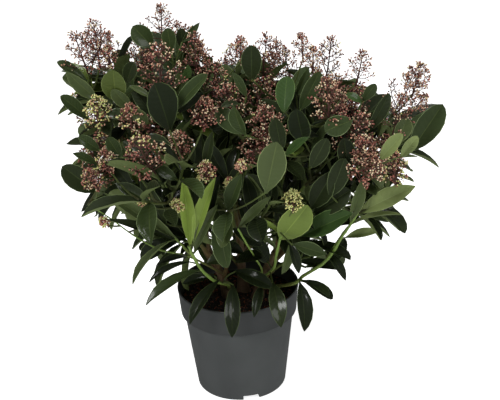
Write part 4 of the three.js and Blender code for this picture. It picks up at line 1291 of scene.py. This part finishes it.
def leaf_rings(root, direction, normal, length, width, bend):
    """A leaf's plain outline, for the room that it takes: its foot, two three-cornered rings and its tip."""
    side, steps = direction.cross(normal), len(LEAF_WIDTHS) + 1
    centre, rings = root, []
    for k in range(steps + 1):
        angle, middle = bend * k / steps, bend * (k + 0.5) / steps
        up = normal * math.cos(angle) + direction * math.sin(angle)
        if k == 0:
            rings.append([centre - direction * (TWIG_TIP_RADIUS / 2)])
        elif k == steps:
            rings.append([centre])
        else:
            half = LEAF_WIDTHS[k - 1] * width / 2
            lifted = centre + up * LEAF_FOLD
            keel = centre + up * (LEAF_FOLD - LEAF_KEEL)
            rings.append([lifted + side * half, keel, lifted - side * half])
        centre = centre + (direction * math.cos(middle) - normal * math.sin(middle)) * (length / steps)
    return rings


def shell_of(rings):
    """A closed shell of triangles for testing what crosses it, and the corners of the box round it."""
    vertices, triangles = loft(rings, quads=False)
    corners = np.array([tuple(v) for v in vertices])
    return BVHTree.FromPolygons(vertices, triangles), corners.min(0), corners.max(0)


class Room:
    """What is taken already: shells of triangles, and the boxes round them that tell what is far off."""

    def __init__(self, most=6000):
        self.trees, self.owners = [], []
        self.lows, self.highs = np.zeros((most, 3)), np.zeros((most, 3))

    def take(self, shell, owner=None):
        count = len(self.trees)
        self.trees.append(shell[0])
        self.owners.append(owner)
        self.lows[count], self.highs[count] = shell[1:]

    def crosses(self, shell, carrier):
        """Whether a shell crosses anything but the twig that carries it."""
        tree, low, high = shell
        count = len(self.trees)
        near = np.nonzero((self.lows[:count] <= high).all(1) & (self.highs[:count] >= low).all(1))[0]
        return any(self.owners[n] is not carrier and self.trees[n].overlap(tree) for n in near)


def pot_room():
    """The room that leaves keep out of: the pot, what is in it and a little more all round."""
    outside, inside = RIM_RADIUS + POT_CLEARANCE, RIM_RADIUS - WALL - 2 * POT_CLEARANCE
    top, soil = POT_HEIGHT + POT_CLEARANCE, SOIL_LEVEL + POT_CLEARANCE
    profile = [(1, 0), (outside, 0), (outside, top), (inside, top), (inside, soil), (1, soil)]
    return [level_ring(radius, height, 36) for radius, height in profile]


room = Room()
room.take(shell_of(pot_room()))
for limb in limbs:
    points, radii = along_curve(limb, limb["steps"])
    room.take(shell_of(limb_rings(points, [radius + GAP for radius in radii], 6)))
for shoot in shoots:
    radii = (TWIG_RADIUS, (TWIG_RADIUS + TWIG_TIP_RADIUS) / 2, TWIG_TIP_RADIUS)
    room.take(shell_of(limb_rings([shoot["start"], shoot["middle"], shoot["end"]], radii, 3)), shoot)
for head in heads:
    room.take(shell_of(head_rings(head)))


def lay_leaf(foot, tip, bend, facing):
    """The direction, normal and length of a leaf from foot to tip whose upper side faces a given way."""
    chord = tip - foot
    along = chord.normalized()
    up = along.cross(Vector(facing)).cross(along).normalized()
    half = bend / 2
    return (along * math.cos(half) + up * math.sin(half), up * math.cos(half) - along * math.sin(half),
            chord.length * half / math.sin(half))


def lane_before(outline):
    """The room in front of an outline, which the leaves of the rule keep out of."""
    return shell_of([outline, [point + OUTWARD * LANE_DEPTH for point in outline]])


placed_leaves, lanes, paths = [], Room(), Room()
for tone, outline, foot, tip, width, bend, facing in FRONT_LEAVES:
    foot, tip, bend = Vector(foot), Vector(tip), math.radians(bend)
    direction, normal, length = lay_leaf(foot, tip, bend, facing)
    placed_leaves.append((tone, outline, foot, direction, normal, length, width, bend))
    room.take(shell_of(leaf_rings(foot, direction, normal, length, width, bend)))
    carry(foot, direction)
    side = direction.cross(normal).normalized() * (0.4 * width)
    middle = foot.lerp(tip, LANE_WIDEST)
    lanes.take(lane_before([foot, middle + side, tip, middle - side]))
for row, radii in low_shoots + placed_twigs:
    room.take(shell_of(limb_rings(row, radii, 5)))
for row, _ in low_shoots:
    for start, end in zip(row[::LANE_STEP], row[LANE_STEP::LANE_STEP]):
        side = (end - start).cross(OUTWARD).normalized() * LANE_WIDTH
        paths.take(lane_before([start + side, end + side, end - side, start - side]))

box_low, box_high = (np.array(tuple(corner)) / MM for corner in cad_box)
laid_leaves = []


def inside_crown(points, plan, interlock):
    """Whether points stay in the solids' box, below the skyline and out of the masses around."""
    x, y, z = corners = np.array([tuple(point) for point in points]).T
    outside = (corners.T < box_low).any() or (corners.T > box_high).any()
    if outside or not in_own_space(points, plan, interlock):
        return False
    return bool((z + SLOPE * y - np.interp(x, *zip(*SKYLINE))).max() <= SKYLINE_MARGIN)


def try_leaf(twig, leaf, aside, share, interlock, barred):
    """Lays a leaf on its twig, unless it would leave the crown or cross anything that is in barred."""
    leaf = {**leaf, "length": leaf["length"] * share, "turn": leaf["turn"] + math.radians(aside)}
    rings = leaf_rings(
        leaf["root"], *leaf_axes(leaf, twig), leaf["length"], leaf["length"] * LEAF_WIDTH, leaf["bend"])
    if not inside_crown([point for ring in rings for point in ring], twig["plan"], interlock):
        return False
    shell = shell_of(rings)
    if any(taken.crosses(shell, twig) for taken in barred):
        return False
    room.take(shell)
    laid_leaves.append((twig, leaf))
    height = (leaf["root"] - twig["middle"]).length / (twig["end"] - twig["middle"]).length
    twig["reach"] = max(height, twig.get("reach", 0))
    return True


def lay_first(twig, leaf, trials, interlock, *barred):
    """Lays a leaf by the first of the trials that fits, and says whether one did."""
    barred = (room, paths, *barred)
    return any(try_leaf(twig, leaf, aside, share, interlock, barred) for aside, share in trials)


skipped = []
for j in reversed(range(LEAVES_PER_SHOOT)):
    for shoot in shoots:
        if j < len(shoot["leaves"]) and not lay_first(shoot, shoot["leaves"][j], LEAF_TRIALS, INTERLOCK):
            skipped.append((shoot, shoot["leaves"][j]))
for shoot, leaf in skipped:
    if not shoot["plan"]["skirt"]:
        lay_first(shoot, leaf, TURNED_TRIALS, EXTRA_INTERLOCK, lanes)
leafy_sprigs = []
for sprig in sprigs:
    start, middle, end = sprig["start"], sprig["middle"], sprig["end"]
    radii = [mix(*SPRIG_RADII, share) for share in (0, 0.5, 1)]
    shell = shell_of(limb_rings([start + (middle - start) * 0.2, middle, end], radii, 3))
    if room.crosses(shell, None):
        continue
    room.take(shell, sprig)
    laid = [lay_first(sprig, leaf, SPRIG_TRIALS, EXTRA_INTERLOCK, lanes) for leaf in sprig["leaves"]]
    if any(laid):
        leafy_sprigs.append(sprig)

twig_limbs = [twig_mesh(twig) for twig in shoots + leafy_sprigs]
twig_limbs += [limb_mesh(row, radii, TWIG_SIDES) for row, radii in placed_twigs]
twigs_piece = limbs_piece("twigs", twig_limbs, shoot_bark)
finish_piece(twigs_piece, "young_wood", *MASS_NODES)


def blade_shape(name, outline, bend, twist, wave, fold):
    """A leaf one unit long along +Y, bent down towards its tip.

    Faces carry their part, 0 upper, 1 under, 2 midrib, 3 margin, and as UV their share across and along."""
    bend, twist = math.radians(bend), math.radians(twist)
    swell, taper = outline
    widest = swell / (swell + taper)
    parts = (3, 0, 0, 2, 0, 0, 3, 1, 1, 1)
    blade = bmesh.new()
    part = blade.faces.layers.int.new("part")
    across, rings = {}, []
    for t in BLADE_STATIONS[:-1]:
        half = LEAF_WIDTH / 2 * max(EDGE_HALF, (t / widest) ** swell * ((1 - t) / (1 - widest)) ** taper)
        centre = Vector((0, math.sin(bend * t) / bend, (math.cos(bend * t) - 1) / bend))
        up = Vector((0, math.sin(bend * t), math.cos(bend * t)))
        turn = Matrix.Rotation(twist * t, 3, Vector((0, 1, 0)))
        ring = []
        for u, thickness in BLADE_SECTION:
            ripple = wave * abs(u) * math.sin(WAVES * t + math.copysign(1, u))
            lift = half * (fold * abs(u) - 0.3 * fold * u * u + ripple)
            vertex = blade.verts.new(centre + turn @ (Vector((u * half, 0, 0)) + up * (lift - thickness)))
            across[vertex] = (abs(u), t)
            ring.append(vertex)
        rings.append(ring)
    tip = blade.verts.new((0, math.sin(bend) / bend, (math.cos(bend) - 1) / bend))
    across[tip] = (0, 1)
    for ring, following in zip(rings, [*rings[1:], None]):
        for i, kind in enumerate(parts):
            j = (i + 1) % len(parts)
            corners = (ring[i], ring[j], following[j], following[i]) if following else (ring[i], ring[j], tip)
            blade.faces.new(corners)[part] = kind
    blade.faces.new(rings[0][::-1])[part] = 1
    place = blade.loops.layers.uv.new("blade")
    for face in blade.faces:
        for loop in face.loops:
            loop[place].uv = across[loop.vert]
    shape = smooth_shape(name, blade)
    shape.data.set_sharp_from_angle(angle=math.radians(60))
    return shape


def leaf_skin(name, colour, roughness, coat):
    """Leathery leaf skin under a thin layer of wax: satin, with a quilt of fine veins about 3 mm apart."""
    material, tree, surface = shader(
        name, Base_Color=linear(colour), Roughness=roughness, Specular_IOR_Level=0.12, Coat_Weight=coat,
        Coat_Roughness=0.14)
    quilt = grain_noise(tree, add(tree, "ShaderNodeTexCoord"), 170, 3)
    # Side veins leave the midrib slantwise, ten to a side, and lie in shallow grooves.
    blade = add(tree, "ShaderNodeAttribute", attribute_name="blade")
    split = add(tree, "ShaderNodeSeparateXYZ", {0: (blade, "Vector")})
    slant = add(tree, "ShaderNodeMath", {0: (split, "X"), 1: -1.4}, operation="MULTIPLY")
    rows = add(tree, "ShaderNodeMath", {0: (split, "Y"), 1: VEINS, 2: (slant, 0)}, operation="MULTIPLY_ADD")
    wander = add(tree, "ShaderNodeMath", {0: (quilt, "Fac"), 1: 0.5, 2: (rows, 0)}, operation="MULTIPLY_ADD")
    groove = add(tree, "ShaderNodeMath", {0: (wander, 0), 1: 0.5}, operation="PINGPONG")
    height = add(tree, "ShaderNodeMath", {0: (groove, 0), 1: 1.2, 2: (quilt, "Fac")},
                 operation="MULTIPLY_ADD")
    add_relief(tree, surface, (height, 0), 0.45, 1)
    return material


blade_shapes = bpy.data.collections.new("blade_shapes")
for n, bend in enumerate(BLADE_BENDS):
    for m, (outline, *form) in enumerate(BLADE_KINDS):
        blade_shapes.objects.link(blade_shape(f"blade_{n}{m}", BLADE_OUTLINES[outline], bend, *form))
places_by_tone = {tone: [] for tone in LEAF_TONES}
shape_count = len(blade_shapes.objects)
for n, (tone, outline, foot, direction, normal, length, width, bend) in enumerate(placed_leaves):
    shape = blade_shape(f"blade_x{n:02d}", BLADE_OUTLINES[outline], math.degrees(bend), *PLACED_KINDS[n % 2])
    blade_shapes.objects.link(shape)
    size = (width / LEAF_WIDTH, length, length)
    places_by_tone[tone].append((foot, facing_matrix(direction, normal), size, shape_count + n))
for n, (twig, leaf) in enumerate(laid_leaves):
    random = seeded(LEAF_SEED + n)
    direction, normal = leaf_axes(leaf, twig)
    # rise goes from 0 low down to 1 at the top; it sets the outlines, and deepens the tones low in the crown
    # as painted shade.
    rise = min(1, max(0, (leaf["root"].z - LOW_LEAVES) / (HIGH_LEAVES - LOW_LEAVES)))
    bend = min(range(len(BLADE_BENDS)), key=lambda i: abs(BLADE_BENDS[i] - math.degrees(leaf["bend"])))
    kind = len(BLADE_KINDS) * bend + 2 * int(random() < mix(*LANCE_SHARE, rise)) + int(2 * random())
    size = (leaf["length"] * mix(*BLADE_WIDTHS, random()), leaf["length"], leaf["length"])
    roll = Matrix.Rotation(math.radians(ROLL * (random() - 0.5)), 3, direction)
    drawn = 100 * random()
    for tone, (*_, low, high) in LEAF_TONES.items():
        drawn -= mix(low, high, rise)
        if drawn < 0:
            break
    places_by_tone[tone].append((leaf["root"], facing_matrix(direction, roll @ normal), size, kind))
blade_tree = placed_tree("laid_leaves", ["Upper", "Underside", "Midrib", "Margin"])
underside = leaf_skin("leaf_underside", "#5b673d", 0.55, 0.0)
for tone, (colour, rib, margin, *_) in LEAF_TONES.items():
    skins = {"Upper": leaf_skin(f"{tone}_leaf", colour, 0.5, 0.35), "Underside": underside,
             "Midrib": leaf_skin(f"{tone}_midrib", rib, 0.5, 0.1),
             "Margin": leaf_skin(f"{tone}_margin", margin, 0.5, 0.1)}
    piece = placed_piece(f"leaves_{tone}", blade_tree, blade_shapes, skins, places_by_tone[tone])
    finish_piece(piece, "foliage", *MASS_NODES)
drop_shapes(bud_shapes)
drop_shapes(blade_shapes)


# ---- Studio ----
# A wide white sheet as the floor, soft boxes to the left, right and overhead, and a camera that looks down
# a little on the plant.
CAMERA_PLACE = (24.4, -2000, 1247)
CAMERA_PITCH = 25
CAMERA_ROLL = 2.33
CAMERA_LENS = 104.11
CAMERA_CLIP_END = 40
HALF_FLOOR = 12000
AIM = (0, 0, 350)
LIGHTS = {
    # name: place in mm, size in mm, power in watts
    "key": ((-900, -1300, 1700), 600, 20),
    "fill": ((1500, -900, 1000), 800, 9),
    "top": ((200, 300, 2100), 600, 20),
}
# Matt white paper with a little light of its own, so that it stays white round the pot's soft shadow.
paper, _, _ = shader(
    "white_paper", Base_Color=(0.95, 0.95, 0.95, 1), Roughness=0.9, Specular_IOR_Level=0.2,
    Emission_Color=(1, 1, 1, 1), Emission_Strength=0.82)
corners = [(x * HALF_FLOOR, y * HALF_FLOOR, 0) for x, y in ((-1, -1), (1, -1), (1, 1), (-1, 1))]
floor = mesh_piece("floor", corners, [(0, 1, 2, 3)], [paper])
# The wax of the leaves doesn't mirror the paper, which would lay a grey veil over their dark green.
floor.visible_glossy = False
world = bpy.data.worlds.new("white_room")
world.use_nodes = True
backdrop = world.node_tree.nodes["Background"].inputs
backdrop["Color"].default_value, backdrop["Strength"].default_value = (1, 1, 1, 1), 0.15
bpy.context.scene.world = world
for name, (place, size, power) in LIGHTS.items():
    lamp = bpy.data.lights.new(name, "AREA")
    lamp.size, lamp.energy = size * MM, power
    box = bpy.data.objects.new(name, lamp)
    box.location = Vector(place) * MM
    box.rotation_euler = (Vector(AIM) - Vector(place)).to_track_quat("-Z", "Y").to_euler()
    bpy.context.scene.collection.objects.link(box)
camera = bpy.data.objects.new("camera", bpy.data.cameras.new("camera"))
camera.data.lens = CAMERA_LENS
camera.data.clip_end = CAMERA_CLIP_END
camera.location = Vector(CAMERA_PLACE) * MM
pitch = Euler((math.radians(90 - CAMERA_PITCH), 0, 0)).to_matrix()
camera.rotation_euler = (pitch @ Matrix.Rotation(math.radians(-CAMERA_ROLL), 3, "Z")).to_euler()
bpy.context.scene.collection.objects.link(camera)
bpy.context.scene.camera = camera
bpy.context.scene.view_settings.view_transform = "Standard"
